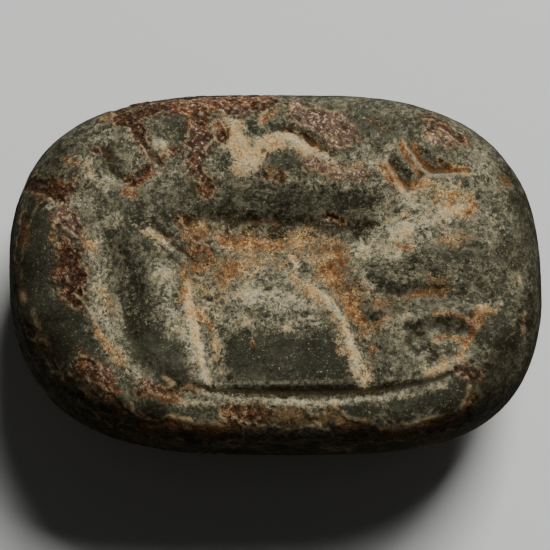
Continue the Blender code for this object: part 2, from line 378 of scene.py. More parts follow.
def spline(points):
    """Catmull-Rom curve through the points, SPLINE_STEPS steps to each span. A lone point
    becomes a path as short as DOT, so that a daub can be a dot."""
    points = np.array(points, float)
    if len(points) == 1:
        return np.vstack([points, points + DOT])
    padded = np.vstack([2 * points[0] - points[1], points, 2 * points[-1] - points[-2]])
    t = np.arange(SPLINE_STEPS)[:, None] / SPLINE_STEPS
    spans = []
    for a, b, c, d in zip(padded, padded[1:], padded[2:], padded[3:]):
        square = (2 * a - 5 * b + 4 * c - d) * t ** 2
        cube = (3 * b - a - 3 * c + d) * t ** 3
        spans.append(0.5 * (2 * b + (c - a) * t + square + cube))
    return np.vstack(spans + [points[-1:]])


def along_path(path, x, y):
    """Distance to the path, share of its run there, and side: 1 on its left, -1 on its right."""
    legs = np.hypot(*np.diff(path, axis=0).T)
    starts = np.concatenate([[0.0], np.cumsum(legs)])
    near = np.full(x.shape, np.inf)
    run = np.zeros(x.shape)
    side = np.zeros(x.shape)
    for first, last, leg, start in zip(path, path[1:], legs, starts):
        heading = (last - first) / leg
        step = np.clip((x - first[0]) * heading[0] + (y - first[1]) * heading[1], 0.0, leg)
        dx = x - first[0] - step * heading[0]
        dy = y - first[1] - step * heading[1]
        gap = np.hypot(dx, dy)
        closer = gap < near
        near = np.where(closer, gap, near)
        run = np.where(closer, (start + step) / starts[-1], run)
        side = np.where(closer, heading[0] * dy - heading[1] * dx, side)
    return near, run, side / np.maximum(near, TINY)


tail = spline(CUTS["tail"]["path"])
print("the tail is", np.hypot(*np.diff(tail, axis=0).T).sum().round(1), "mm long")

# %% Depth of one cut
def cut_depth(x, y, path, left, right, depth, ends, peak, keen):
    """Depth of one worn cut: a wall profile of the distance from its path, which swells from
    its ends to its peak. A round wall is (1 - u^2)^2 and a keen one (1 - u)^1.6."""
    near, run, side = along_path(spline(path), x, y)
    rise = ends[0] + (1.0 - ends[0]) * smooth(run / peak)
    fall = ends[1] + (1.0 - ends[1]) * smooth((1.0 - run) / (1.0 - peak))
    swell = np.where(run < peak, rise, fall)
    leftness = smooth(0.5 + 0.5 * side)
    reach = swell * (right + (left - right) * leftness)
    edge = keen[1] + (keen[0] - keen[1]) * leftness
    away = np.clip(near / reach, 0.0, 1.0)
    wall = (1.0 - edge) * (1.0 - away ** 2) ** 2 + edge * (1.0 - away) ** 1.6
    return depth * swell ** 1.5 * wall


on_tail = cut_depth(tail[:, 0], tail[:, 1], **CUTS["tail"])
print("the tail is cut", on_tail.min().round(2), "to", on_tail.max().round(2), "mm deep")

# %% Lower the face
BLEND = 4.0                # the higher this is, the sharper the ridge between two cuts

face_x = form[..., X]
face_y = form[..., Y]
total = np.zeros(face_x.shape)
for cut in CUTS.values():
    total += np.expm1(BLEND * cut_depth(face_x, face_y, **cut))
cuts_depth = np.log1p(total) / BLEND

height = (form[..., Z] - GIRTH_HEIGHT) / FACE_RISE
lift = np.where(is_hole, 0.0, smooth(height / CARVING_FADE))
crown = FACE_CROWN * outline_share(face_x, face_y) ** 2
form[..., Z] -= (cuts_depth + crown) * lift
cuts_depth *= lift
print("deepest cut", cuts_depth.max().round(2), "mm")

# %% [markdown]
# ## Chance, but the same each time
#
# Wear, pitting and stain look random, yet the script has to give the same stone on each run.
# The noise here is a lattice of seeded random numbers, blended between its corners, which is
# what a noise texture does inside the renderer. Working it out in numpy lets the same noise
# move the surface and colour it.

# %% Lattice noise
LATTICE = 32


def noise(points, cell, seed):
    """Soft noise from -1 to 1: random values on a lattice of the given cell, blended smoothly
    between the eight corners round each point."""
    table = np.random.default_rng(seed).random((LATTICE, LATTICE, LATTICE)) * 2.0 - 1.0
    place = points / cell
    corner = np.floor(place).astype(int)
    share = smooth(place - corner)
    value = np.zeros(points.shape[:-1])
    for step in np.ndindex(2, 2, 2):
        index = (corner + step) % LATTICE
        weight = np.prod(np.where(np.array(step) == 1, share, 1.0 - share), axis=-1)
        value += weight * table[index[..., 0], index[..., 1], index[..., 2]]
    return value


def clouds(points, cell, seed, octaves=3):
    """Noise of several sizes added up, each half as large and 0.55 times as strong."""
    total = np.zeros(points.shape[:-1])
    strength = 1.0
    for octave in range(octaves):
        total += strength * noise(points, cell / 2 ** octave, seed + octave)
        strength *= 0.55
    return total


def pits(points, cell, seed, share_of_cells, size):
    """Round hollows, 1 at the middle of each and 0 outside it. Each lattice cell may hold one,
    at a random place and with a random radius up to `size` cells."""
    table = np.random.default_rng(seed).random((LATTICE, LATTICE, LATTICE, 5))
    place = points / cell
    corner = np.floor(place).astype(int)
    hollow = np.zeros(points.shape[:-1])
    for step in np.ndindex(3, 3, 3):
        home = corner + step - 1
        index = home % LATTICE
        chance = table[index[..., 0], index[..., 1], index[..., 2]]
        gap = np.linalg.norm(place - home - chance[..., :3], axis=-1)
        radius = size * (0.4 + 0.6 * chance[..., 3])
        bowl = smooth(1.0 - gap / radius)
        hollow = np.maximum(hollow, np.where(chance[..., 4] < share_of_cells, bowl, 0.0))
    return hollow


print("noise at the middle of the stone:", noise(np.zeros((1, 3)), 1.0, 3).round(3))

# %% [markdown]
# ## Where the patina lies
#
# The finish of an old stone isn't chance alone: wear follows the hand and the cuts, and stain
# follows the soil. The maps could be painted by hand on the model, but a list can be read,
# measured and mended, so the surface is mapped as a conservator would map it, in daubs, with a
# list for each kind of finish. A daub is a short path on the face with a reach, both in
# millimetres, and a strength. It thins out with the distance from its path, its edge is made
# ragged by noise, and where daubs of a kind overlap the densest counts. A strength over 1 gives
# a wide, even middle. Most kinds only colour the stone; crust, flaked skin, ridges and broken
# places also shape it. Away from the face the maps are plainer and come from noise alone.

# %% Polish that survived
# The dark skin where wear and soil spared it; here the stone is smoothest.
DAUBS = {}
DAUBS["polish"] = [
    ([(-6.0, 4.6), (-2.0, 4.5), (2.5, 4.3), (6.5, 4.0)], 1.1, 0.35),
    ([(-1.2, -7.8), (1.5, -7.0), (3.6, -8.2)], 2.4, 1.0),
    ([(-8.6, -6.6), (-7.4, -9.0)], 1.3, 1.1),
    ([(-11.0, 2.5), (-10.3, -2.0), (-9.6, -6.5)], 0.9, 0.3),
    ([(7.4, -1.7), (10.5, -1.8), (13.5, -2.1)], 0.7, 0.2),
    ([(12.0, 0.1), (14.5, 0.0), (18.0, -0.5)], 0.8, 0.45),
    ([(17.3, 4.5), (18.0, 0.5)], 1.4, 0.6),
    ([(-17.0, 2.5), (-17.3, -2.0), (-15.0, -6.5)], 1.8, 1.0),
    ([(-15.0, -6.0), (-12.9, -8.0)], 1.7, 0.7),
    ([(-7.3, 10.6), (-5.8, 10.4)], 0.9, 0.5),
    ([(-11.2, 8.3), (-9.6, 7.2)], 1.1, 0.7),
    ([(-3.6, 6.4), (-2.6, 6.2)], 0.8, 0.8),
    ([(0.0, 7.1), (1.0, 6.8)], 0.9, 0.8),
    ([(6.2, 10.4), (8.5, 9.0)], 1.5, 0.5),
    ([(9.8, -5.0), (11.5, -4.9)], 0.7, 0.45),
    ([(9.0, -11.0), (13.0, -10.2)], 1.0, 0.9),
    ([(3.0, -11.5), (7.0, -11.4)], 0.6, 0.8),
    ([(15.8, -3.6), (16.6, -6.6)], 1.1, 0.6),
    ([(-10.0, -11.3), (-6.5, -11.6), (-3.8, -11.3)], 0.5, 0.5),
]
print("polish:", len(DAUBS["polish"]), "daubs")

# %% Chalky wear
# Grey green to chalk, on ridges and slopes that were rubbed most.
DAUBS["chalk"] = [
    ([(-6.2, 2.6), (-3.0, 2.4), (0.4, 2.3)], 0.6, 0.45),
    ([(6.6, 1.0), (8.5, 1.7), (11.0, 2.8)], 1.25, 0.95),
    ([(7.7, 0.4), (8.7, 0.0)], 0.7, 1.0),
    ([(6.3, -1.3), (6.8, -2.2)], 0.7, 0.7),
    ([(12.5, -3.2), (14.0, -3.0)], 0.5, 0.3),
    ([(9.8, 4.4), (12.0, 4.2), (13.4, 3.4)], 1.3, 0.95),
    ([(9.5, 1.4), (12.8, 1.6)], 1.1, 0.55),
    ([(6.7, -1.4), (10.5, -1.7), (13.0, -1.9)], 0.8, 0.38),
    ([(-2.5, 5.8), (0.5, 5.7), (3.6, 5.6), (5.2, 5.4)], 0.9, 0.42),
    ([(3.0, 7.4), (5.0, 6.2)], 1.0, 0.7),
    ([(-11.2, 1.6), (-10.9, -2.4)], 0.8, 0.36),
    ([(-13.6, 1.2), (-12.8, -2.4), (-11.9, -5.8), (-10.9, -8.4)], 1.1, 0.58),
    ([(-8.3, -1.2), (-7.9, -3.0), (-6.9, -5.2)], 1.1, 0.7),
    ([(-6.7, -5.0), (-5.9, -7.0), (-5.2, -8.8)], 0.8, 0.75),
    ([(-2.6, -0.4), (0.4, -1.6), (2.0, -2.4)], 1.9, 0.5),
    ([(-3.7, -2.8), (-0.8, -3.2), (2.6, -3.6)], 1.3, 0.8),
    ([(-3.4, -4.8), (-0.4, -5.2), (3.2, -4.8)], 1.0, 0.6),
    ([(-4.2, -4.0), (-4.0, -6.8), (-3.9, -8.4)], 0.7, 0.5),
    ([(-0.8, 1.2), (1.0, 1.8)], 0.8, 0.6),
    ([(8.0, 7.2), (9.0, 8.3)], 1.0, 0.4),
    ([(-6.6, -10.9), (-2.5, -11.0), (4.1, -11.0), (9.2, -10.5), (12.2, -9.7)], 0.34, 0.66),
    ([(-16.6, 4.0), (-15.0, 4.2), (-13.0, 3.4), (-11.6, 2.6)], 0.7, 0.7),
    ([(-13.9, 7.3), (-13.4, 5.8), (-12.6, 5.4)], 0.9, 0.75),
    ([(-9.2, 8.9), (-8.6, 8.4)], 0.55, 0.95),
    ([(-5.2, 7.4), (-4.0, 6.4)], 0.9, 0.5),
    ([(-12.4, 8.6), (-9.5, 6.9), (-7.5, 6.8), (-5.0, 6.6)], 1.9, 0.4),
    ([(6.6, 7.4), (7.6, 5.6), (8.0, 3.8)], 1.4, 0.48),
    ([(14.4, 7.6), (16.0, 5.0), (15.8, 1.8)], 1.5, 0.4),
    ([(11.2, -8.6), (13.0, -8.2), (13.8, -7.8)], 0.6, 0.6),
    ([(3.4, -2.8), (5.2, -5.4), (6.2, -8.8)], 0.8, 0.4),
    ([(6.8, -5.7), (8.6, -5.7)], 0.7, 0.45),
    ([(15.0, -3.7), (16.0, -3.5)], 0.6, 0.9),
    ([(9.0, -6.9), (10.4, -7.8), (11.6, -8.7)], 0.4, 0.4),
    ([(-5.4, -1.6), (-5.3, -3.8)], 0.9, 0.8),
    ([(17.2, 3.5), (17.8, -2.5)], 0.8, 0.2),
    ([(-5.0, -9.2), (-4.2, -10.2)], 0.8, 0.6),
    ([(-10.6, -8.4), (-9.8, -9.0)], 0.7, 0.5),
]
print("chalk:", len(DAUBS["chalk"]), "daubs")

# %% Cream encrustation
# Lime that settled from the soil, thickest on the legs and head and in one patch above the back.
DAUBS["cream"] = [
    ([(-3.4, 9.4), (-2.3, 8.0), (-1.9, 6.7)], 1.1, 1.15),
    ([(-1.4, 8.4), (0.8, 8.7), (2.0, 8.4), (3.2, 7.3)], 0.7, 1.2),
    ([(-6.4, -2.0), (-6.25, -3.8)], 0.36, 1.4),
    ([(-6.2, -4.0), (-5.7, -6.3), (-5.15, -8.5), (-4.9, -9.4)], 0.36, 1.15),
    ([(-9.2, 1.8), (-8.4, 1.2), (-7.6, 0.5)], 0.22, 0.75),
    ([(-8.2, 1.7), (-7.4, 1.1), (-6.6, 0.5)], 0.14, 0.8),
    ([(-10.6, 2.5), (-9.4, 1.5), (-8.1, 0.2)], 0.16, 0.45),
    ([(8.8, 1.3), (9.6, 1.7)], 0.5, 0.7),
    ([(11.2, 5.2), (13.0, 5.2), (14.2, 4.4)], 0.75, 0.75),
    ([(2.2, -2.2), (3.8, -3.5), (4.9, -5.0), (5.4, -6.6), (5.9, -8.2)], 0.5, 0.95),
    ([(5.8, -8.2), (6.4, -9.3)], 0.7, 0.85),
    ([(2.0, 1.0), (3.5, -0.8), (4.8, -2.6)], 1.2, 0.42),
    ([(9.2, 4.6), (10.4, 5.1), (11.3, 5.6)], 0.45, 1.0),
    ([(12.2, -6.5), (12.8, -6.8)], 0.7, 0.4),
    ([(0.9, 0.4), (1.6, -0.6), (1.3, -1.6)], 0.35, 0.7),
    ([(6.3, -6.2), (8.0, -5.3), (9.6, -4.5)], 0.35, 0.45),
    ([(4.6, -6.4), (5.2, -7.6)], 0.5, 0.6),
    ([(11.0, -8.8), (12.8, -8.2), (13.6, -7.8)], 0.45, 0.8),
    ([(-2.0, -10.9), (4.0, -11.0)], 0.28, 0.5),
    ([(-13.8, 6.6), (-13.5, 6.0)], 0.5, 0.7),
    ([(-7.9, -9.1), (-6.8, -9.8), (-5.4, -10.1)], 0.22, 0.8),
    ([(1.0, 1.6), (1.8, 1.2)], 0.6, 0.7),
    ([(-3.5, -2.9), (-2.5, -3.1)], 0.6, 0.6),
]
print("cream:", len(DAUBS["cream"]), "daubs")

# %% Rust
# Iron stain, washed into cuts and round the crust.
DAUBS["rust"] = [
    ([(-5.6, 2.0), (-3.2, 1.3), (-0.4, 1.6), (2.0, 1.2)], 1.2, 0.85),
    ([(-5.4, -0.4), (-4.0, -1.4), (-2.0, -0.2)], 1.6, 0.8),
    ([(-0.6, 0.2), (0.4, -0.4)], 0.8, 0.5),
    ([(-2.0, 2.0), (-1.6, 1.8)], 0.45, 1.0),
    ([(2.4, 1.6), (3.4, 0.4), (4.9, -1.2), (5.6, -3.4)], 1.5, 0.8),
    ([(1.1, -1.2), (1.8, -2.2), (2.9, -3.1)], 0.35, 1.2),
    ([(-5.6, -0.8), (-5.0, -2.6)], 1.0, 0.65),
    ([(-6.7, -0.9), (-6.6, -2.0), (-6.8, -3.2)], 0.35, 0.9),
    ([(-5.6, -3.9), (-4.7, -5.4), (-4.2, -6.8), (-4.3, -7.6)], 0.32, 0.85),
    ([(-12.7, -2.7), (-12.3, -3.6)], 0.5, 0.6),
    ([(-11.4, -7.6), (-10.8, -8.6)], 0.45, 0.8),
    ([(-12.9, -5.6), (-11.9, -7.0), (-11.0, -8.0)], 0.3, 0.8),
    ([(8.2, 6.7), (8.9, 5.7), (9.9, 4.9), (10.6, 5.7)], 0.45, 1.7),
    ([(9.6, 4.6), (10.4, 4.5), (11.0, 5.2)], 0.5, 0.8),
    ([(11.0, 6.6), (11.5, 7.4), (12.4, 7.0)], 0.6, 0.85),
    ([(10.3, 8.2), (11.0, 7.0), (12.6, 6.7), (14.0, 6.6)], 0.45, 1.4),
    ([(9.4, 8.4), (10.1, 7.0), (10.6, 6.2)], 0.3, 1.5),
    ([(9.6, 5.0), (10.4, 5.5), (11.5, 5.3), (12.3, 4.6)], 0.6, 0.85),
    ([(12.4, 4.5), (13.4, 4.1), (14.0, 3.8)], 0.6, 1.25),
    ([(12.4, 1.2), (14.5, 1.4)], 0.6, 0.6),
    ([(9.2, 0.6), (9.9, 0.5)], 0.35, 1.0),
    ([(9.4, 3.2), (9.8, 2.9)], 0.35, 0.6),
    ([(7.2, -3.9), (9.0, -3.2), (11.0, -2.6), (12.4, -2.4)], 0.6, 0.7),
    ([(11.6, -4.5), (13.0, -4.4), (14.2, -5.2)], 0.4, 0.8),
    ([(11.2, -1.8), (12.4, -2.0)], 0.4, 0.8),
    ([(14.9, -4.0), (14.4, -5.6), (13.6, -7.0)], 0.35, 1.2),
    ([(15.0, -3.9), (16.2, -4.0)], 0.35, 0.8),
    ([(3.2, -3.3), (4.7, -5.4), (5.3, -7.6)], 0.3, 0.7),
    ([(5.9, -6.0), (7.2, -5.2), (8.8, -4.3)], 0.28, 1.2),
    ([(7.0, -6.8), (6.9, -8.6)], 0.5, 0.7),
    ([(3.0, -0.2), (4.2, -1.6)], 0.8, 1.0),
    ([(4.6, -2.4), (5.4, -3.8), (6.2, -5.0)], 0.7, 0.9),
    ([(11.4, -6.4), (12.4, -5.9), (13.7, -6.4)], 0.3, 0.8),
    ([(12.0, -7.8), (13.0, -7.7), (13.6, -7.2)], 0.3, 0.8),
    ([(11.2, -8.9), (12.2, -8.5), (13.6, -7.7)], 0.35, 0.8),
    ([(14.0, -8.0)], 0.35, 0.7),
    ([(-3.6, -11.6), (-1.8, -11.9)], 0.7, 0.8),
    ([(-2.9, 8.4), (-2.3, 7.4)], 0.2, 0.4),
    ([(-0.1, 8.2), (0.5, 8.3)], 0.3, 0.6),
    ([(2.4, 8.6), (3.2, 8.0), (3.9, 7.4)], 0.5, 0.8),
    ([(-10.8, 10.4), (-10.4, 11.0)], 0.5, 1.1),
    ([(0.4, 11.6), (-0.6, 10.8), (-0.9, 10.2)], 0.35, 0.9),
    ([(-12.8, 11.0), (-11.0, 11.4), (-8.0, 11.6)], 0.6, 0.7),
    ([(-18.0, 5.2), (-17.0, 4.8)], 0.8, 0.8),
    ([(-15.8, 7.6), (-15.3, 7.4)], 0.4, 0.7),
    ([(-18.5, 2.4), (-18.4, 1.2)], 0.4, 0.9),
    ([(-13.9, 1.0), (-13.3, 0.6)], 0.5, 0.8),
    ([(-15.6, 3.1), (-15.0, 2.6)], 0.35, 0.7),
    ([(-11.0, 4.8), (-10.3, 4.6)], 0.4, 0.9),
    ([(16.8, 6.2), (17.2, 5.9)], 0.45, 0.8),
    ([(4.8, -12.3), (6.6, -12.3)], 0.3, 0.9),
    ([(8.4, -12.9), (11.2, -12.3), (13.4, -11.6), (14.2, -10.2)], 0.35, 0.9),
    ([(-9.4, -12.5), (-7.2, -12.3), (-5.0, -12.8), (-3.2, -12.5)], 0.4, 1.3),
    ([(-9.4, -10.3), (-8.2, -10.4), (-7.2, -10.6)], 0.45, 0.9),
]
print("rust:", len(DAUBS["rust"]), "daubs")

# %% Crust
# A pitted brown growth, and a paler, pinkish one with shallower pits.
DAUBS["crust"] = [
    ([(-11.2, 10.9), (-8.5, 11.5), (-5.0, 11.6), (-1.0, 11.9)], 0.8, 1.2),
    ([(-11.6, 11.9), (-8.0, 12.5), (-4.0, 12.7), (-0.8, 12.7)], 0.8, 1.2),
    ([(-10.0, 10.0), (-9.7, 8.4), (-8.9, 7.5)], 0.6, 0.8),
    ([(-5.8, 10.2), (-5.4, 8.4), (-6.0, 6.8), (-5.0, 5.6)], 0.9, 0.9),
    ([(-4.2, 10.0), (-3.9, 9.0)], 0.6, 0.7),
    ([(-8.6, 7.4), (-7.2, 8.0), (-6.2, 8.4)], 0.5, 0.6),
    ([(0.7, 9.8), (2.2, 9.2), (2.8, 8.5)], 0.3, 0.9),
    ([(-0.4, 6.2), (0.4, 6.0)], 0.5, 0.7),
    ([(4.0, 3.2), (4.9, 2.9)], 0.5, 0.7),
    ([(11.4, 10.6), (13.0, 10.0), (14.0, 9.2)], 0.7, 0.75),
    ([(12.2, 7.3)], 0.3, 0.7),
    ([(13.5, 6.6)], 0.3, 0.7),
    ([(-18.2, 6.0), (-16.9, 5.4), (-15.9, 4.9)], 0.8, 0.95),
    ([(-13.3, 8.1), (-12.6, 8.0)], 0.5, 1.0),
    ([(-10.5, 5.6), (-9.6, 6.4)], 0.55, 0.8),
    ([(-15.4, 0.8), (-15.0, -1.2), (-14.7, -2.9)], 1.0, 0.95),
    ([(-14.0, -8.1), (-13.0, -8.9), (-12.4, -9.4)], 0.9, 0.9),
    ([(-9.6, -9.8), (-7.2, -10.2)], 0.6, 0.9),
    ([(-3.5, -11.5), (-1.6, -11.8)], 0.7, 0.8),
    ([(13.1, -8.4), (14.9, -9.0)], 0.5, 0.9),
    ([(-6.9, 2.9), (-6.2, 1.8), (-5.2, 0.8)], 0.5, 0.8),
    ([(-1.6, -6.6)], 0.25, 0.7),
]
DAUBS["pink crust"] = [
    ([(-4.0, 11.0), (-2.4, 11.0)], 0.5, 0.5),
    ([(1.6, 10.8), (3.2, 10.2), (4.9, 9.4)], 1.2, 0.95),
    ([(4.2, 8.6), (5.4, 8.8)], 0.8, 0.7),
    ([(2.4, 6.8), (4.4, 6.5), (6.2, 6.3)], 0.8, 0.75),
    ([(7.3, 10.4), (8.0, 9.8)], 0.5, 0.4),
    ([(11.6, 9.4), (13.2, 8.6)], 0.8, 0.6),
    ([(-14.6, 7.2), (-14.9, 5.8)], 0.6, 0.6),
    ([(-9.2, 7.8), (-8.4, 7.0)], 0.5, 0.7),
    ([(-5.8, 9.4), (-5.4, 8.2), (-5.6, 7.2)], 0.5, 0.6),
    ([(-15.6, 3.0), (-14.4, 1.6)], 0.8, 0.6),
    ([(-9.8, -9.7), (-7.6, -10.2)], 0.4, 0.6),
    ([(-12.6, -8.2), (-12.0, -8.8)], 0.3, 0.4),
]
print("crust:", len(DAUBS["crust"]), "pink crust:", len(DAUBS["pink crust"]), "daubs")

# %% Soil
# Dark earth, left mostly in the lines of the cuts.
DAUBS["soil"] = [
    ([(-5.6, 3.3), (-3.0, 3.4), (1.6, 3.0), (4.0, 2.9), (7.0, 2.4)], 0.5, 0.75),
    ([(-9.2, 2.4), (-7.4, 1.1), (-5.8, -0.4)], 0.15, 1.0),
    ([(-6.6, 2.9), (-5.0, 1.0)], 0.6, 0.6),
    ([(-12.3, 7.3), (-11.6, 6.2), (-10.9, 5.6)], 0.3, 0.6),
    ([(9.3, 6.5), (10.1, 6.0)], 0.3, 0.5),
    ([(10.9, 8.1), (11.8, 7.8)], 0.35, 0.6),
    ([(11.2, -4.6), (12.6, -4.9), (13.6, -5.3)], 0.22, 0.8),
    ([(9.6, -5.0), (10.2, -5.8), (10.8, -6.7)], 0.4, 0.3),
    ([(10.4, -2.2), (12.8, -2.3)], 0.3, 0.6),
    ([(0.8, 9.8), (2.2, 9.3)], 0.3, 0.8),
    ([(-6.4, -9.9), (-1.5, -10.2), (4.8, -10.2), (9.0, -9.8)], 0.34, 1.0),
    ([(5.3, 2.6), (6.6, 2.2)], 0.5, 0.7),
    ([(-4.8, 2.3), (-2.0, 2.3), (0.8, 2.1)], 0.7, 0.75),
    ([(3.4, 2.4), (4.6, 1.8)], 0.5, 0.6),
    ([(-10.6, -3.2), (-9.9, -6.0)], 0.3, 0.5),
    ([(-14.2, -8.3), (-12.2, -9.5)], 0.4, 0.7),
    ([(-17.0, 5.4), (-16.0, 4.9)], 0.45, 0.9),
    ([(13.6, -8.6), (14.4, -8.9)], 0.4, 0.7),
]
print("soil:", len(DAUBS["soil"]), "daubs")

# %% Flaked skin
# The tan layer laid bare, and the crests of skin that still stand beside it, pale partly from a painted
# highlight.
DAUBS["tan"] = [
    ([(-13.0, -10.4), (-10.5, -12.0), (-6.0, -13.0)], 0.9, 0.8),
    ([(-9.0, -12.7), (-3.0, -12.8)], 0.6, 0.95),
    ([(-1.2, -11.8), (1.4, -12.1), (4.0, -12.2)], 0.9, 1.0),
    ([(4.5, -12.9), (9.5, -12.8)], 0.7, 0.95),
    ([(11.0, -12.5), (13.4, -12.0), (14.6, -10.4)], 0.5, 0.85),
    ([(-18.6, 3.6), (-19.0, 0.5)], 0.5, 0.7),
    ([(-17.8, -5.5), (-15.5, -9.0)], 0.6, 0.6),
]
DAUBS["crest"] = [
    ([(-10.3, -11.0), (-10.0, -11.8), (-8.5, -12.2),
      (-7.6, -11.9), (-5.5, -12.4), (-3.8, -12.6)], 0.14, 1.0),
    ([(7.6, -12.7), (9.4, -12.5), (11.0, -12.0), (13.0, -11.5), (13.7, -10.6), (14.0, -9.7)], 0.14, 1.0),
    ([(-8.0, -9.1), (-7.0, -9.8), (-6.2, -9.7), (-5.2, -10.1)], 0.2, 1.0),
    ([(-18.9, -0.6), (-18.7, -2.0), (-18.4, -3.2)], 0.2, 1.0),
    ([(-17.8, -4.0), (-17.4, -5.0)], 0.22, 0.9),
    ([(17.8, -1.4), (17.9, -1.8)], 0.16, 0.9),
    ([(18.3, -4.0), (18.1, -4.8), (18.2, -5.3)], 0.16, 0.9),
    ([(-17.9, 3.4), (-17.4, 4.1), (-16.4, 4.3)], 0.12, 0.8),
    ([(-0.6, 11.4), (-1.0, 10.6), (-1.2, 10.0)], 0.13, 0.9),
    ([(-14.4, -3.0), (-13.4, -4.2), (-13.0, -5.2)], 0.12, 0.6),
]
print("tan:", len(DAUBS["tan"]), "crest:", len(DAUBS["crest"]), "daubs")

# %% Painted shade and dirt
# Painted shade with some grime, mostly on the lower shoulder and the ends, where fingers never rubbed:
# dark patches that stand in for the shade where the stone turns away from the light.
DAUBS["dirt"] = [
    ([(-19.2, 0.0), (-18.6, -4.6), (-17.2, -8.4), (-14.0, -11.6)], 1.0, 0.9),
    ([(-18.4, 2.2), (-17.4, 6.0), (-15.8, 8.4)], 1.1, 0.6),
    ([(-16.8, -5.4), (-15.2, -8.8), (-12.0, -11.0), (-9.0, -12.0)], 1.4, 1.0),
    ([(-16.4, -1.0), (-15.6, -5.0)], 1.2, 0.35),
    ([(-8.0, -8.8), (-6.8, -9.2)], 0.7, 0.75),
    ([(-14.0, -11.8), (-9.0, -13.2), (0.0, -13.4), (9.0, -13.2)], 0.5, 0.9),
    ([(12.6, -12.7), (15.0, -10.6), (17.4, -6.8)], 1.3, 1.1),
    ([(14.8, -9.6), (15.8, -8.4), (16.8, -6.6)], 1.0, 0.75),
    ([(7.6, -3.4), (9.2, -3.7)], 0.6, 0.4),
    ([(-10.6, 11.0), (-7.6, 11.7)], 0.7, 0.5),
    ([(-11.6, -10.8), (-10.4, -11.0)], 0.8, 1.2),
    ([(18.8, -5.0), (19.4, 0.5), (18.8, 4.5), (17.4, 7.0)], 1.0, 0.85),
]
print("dirt:", len(DAUBS["dirt"]), "daubs")

# %% Ridges and broken places
# Lips that stand proud along a cut, and rough floors where the stone broke.
DAUBS["ridge"] = [
    ([(6.2, -6.0), (8.2, -5.2), (9.8, -4.5)], 0.5, 0.5),
    ([(1.2, -1.4), (2.6, -2.6), (4.0, -3.8), (5.1, -5.4)], 0.5, 0.7),
    ([(11.0, -8.7), (12.8, -8.1), (14.3, -7.0)], 0.45, 0.6),
    ([(-9.2, 1.8), (-8.4, 1.2), (-7.2, 0.2)], 0.25, 0.5),
    ([(14.9, -4.0), (14.4, -5.6), (13.6, -7.0)], 0.35, 0.6),
    ([(-2.8, 8.4), (-2.0, 6.9)], 0.6, 0.6),
    ([(-1.2, 8.6), (0.8, 9.0), (2.0, 8.6), (3.2, 7.5)], 0.4, 0.7),
]
DAUBS["broken"] = [
    ([(9.0, -5.0), (11.4, -5.4), (13.6, -6.2)], 2.0, 1.6),
    ([(6.8, -2.9), (10.0, -2.9), (13.4, -3.0)], 0.8, 0.9),
    ([(-3.0, 2.7), (2.0, 2.5), (6.4, 1.6)], 0.7, 0.9),
    ([(9.0, -7.2), (12.6, -7.4)], 1.2, 0.7),
    ([(-6.4, 2.6), (-4.6, 1.6), (-2.4, 2.2)], 0.9, 0.8),
    ([(2.0, 1.4), (4.4, 0.4), (5.4, -2.0)], 1.3, 0.8),
    ([(9.0, 4.6), (11.6, 4.8), (13.6, 4.2)], 1.0, 0.6),
    ([(-12.0, -1.0), (-11.4, -5.0)], 1.0, 0.5),
    ([(-3.0, 8.4), (0.0, 8.4), (3.0, 8.0)], 1.0, 0.6),
]
print("ridge:", len(DAUBS["ridge"]), "broken:", len(DAUBS["broken"]), "daubs")

# %% Daubs made into maps
RAGGEDNESS = 0.32
SOFT_KINDS = ("chalk", "cream")     # these lie more evenly, like dust
SOFT_SHARE = 0.6
UNEVENNESS = 0.3
SPREAD = 1.7               # a daub thins out to nothing at this many reaches from its path
FACE_FROM = 9.0            # the daubs come in above this height
FACE_SPAN = 2.5            # and count in full this much higher


def daubed(kind, x, y, ragged, uneven):
    """Density of one kind of patina at x, y. Each daub gives
    strength * smooth(1 - near / (SPREAD * reach) + ragged), and the densest counts. The whole
    is made uneven by noise."""
    found = np.zeros(x.shape)
    for path, reach, strength in DAUBS[kind]:
        near, _, _ = along_path(spline(path), x, y)
        share = 1.0 - near / (SPREAD * reach) + RAGGEDNESS * ragged
        found = np.maximum(found, strength * smooth(share) * (share > 0.0))
    return found * (1.0 + UNEVENNESS * uneven)


on_face = smooth((form[..., Z] - FACE_FROM) / FACE_SPAN)
patina = {}
for number, kind in enumerate(DAUBS):
    seed = 20 + 5 * number      # each kind has its own noise, by its place in the order
    ragged = clouds(form, 1.5, seed, octaves=4)
    if kind in SOFT_KINDS:
        ragged *= SOFT_SHARE
    uneven = noise(form, 0.9, seed + 2)
    patina[kind] = daubed(kind, face_x, face_y, ragged, uneven) * on_face
    print(kind, "covers", round(float((patina[kind] > 0.5).mean()) * 100, 1), "% of the grid")
pinkness = patina["pink crust"] / (patina["crust"] + patina["pink crust"] + TINY)
patina["crust"] = np.maximum(patina["crust"], patina["pink crust"])

# %% The plainer sides and back
off_face = 1.0 - on_face
broad = clouds(form, 6.0, 41)
middling = clouds(form, 2.2, 47)
patina["crust"] += off_face * 0.8 * smooth((broad + 0.5 * middling - 0.45) / 0.5)
patina["tan"] += off_face * 0.6 * smooth((clouds(form, 4.0, 53) - 0.1) / 0.6)
patina["chalk"] += off_face * 0.35 * smooth((middling - 0.3 * broad - 0.3) / 0.7)
patina["rust"] += off_face * 0.5 * smooth((clouds(form, 1.6, 59) - 0.55) / 0.5)
patina["polish"] += off_face * 0.6 * smooth((0.3 - middling) / 0.8)
for kind in patina:
    patina[kind] = np.clip(patina[kind], 0.0, 1.0)
print("crust off the face:", round(float((patina["crust"] * off_face > 0.5).mean()) * 100, 1), "%")

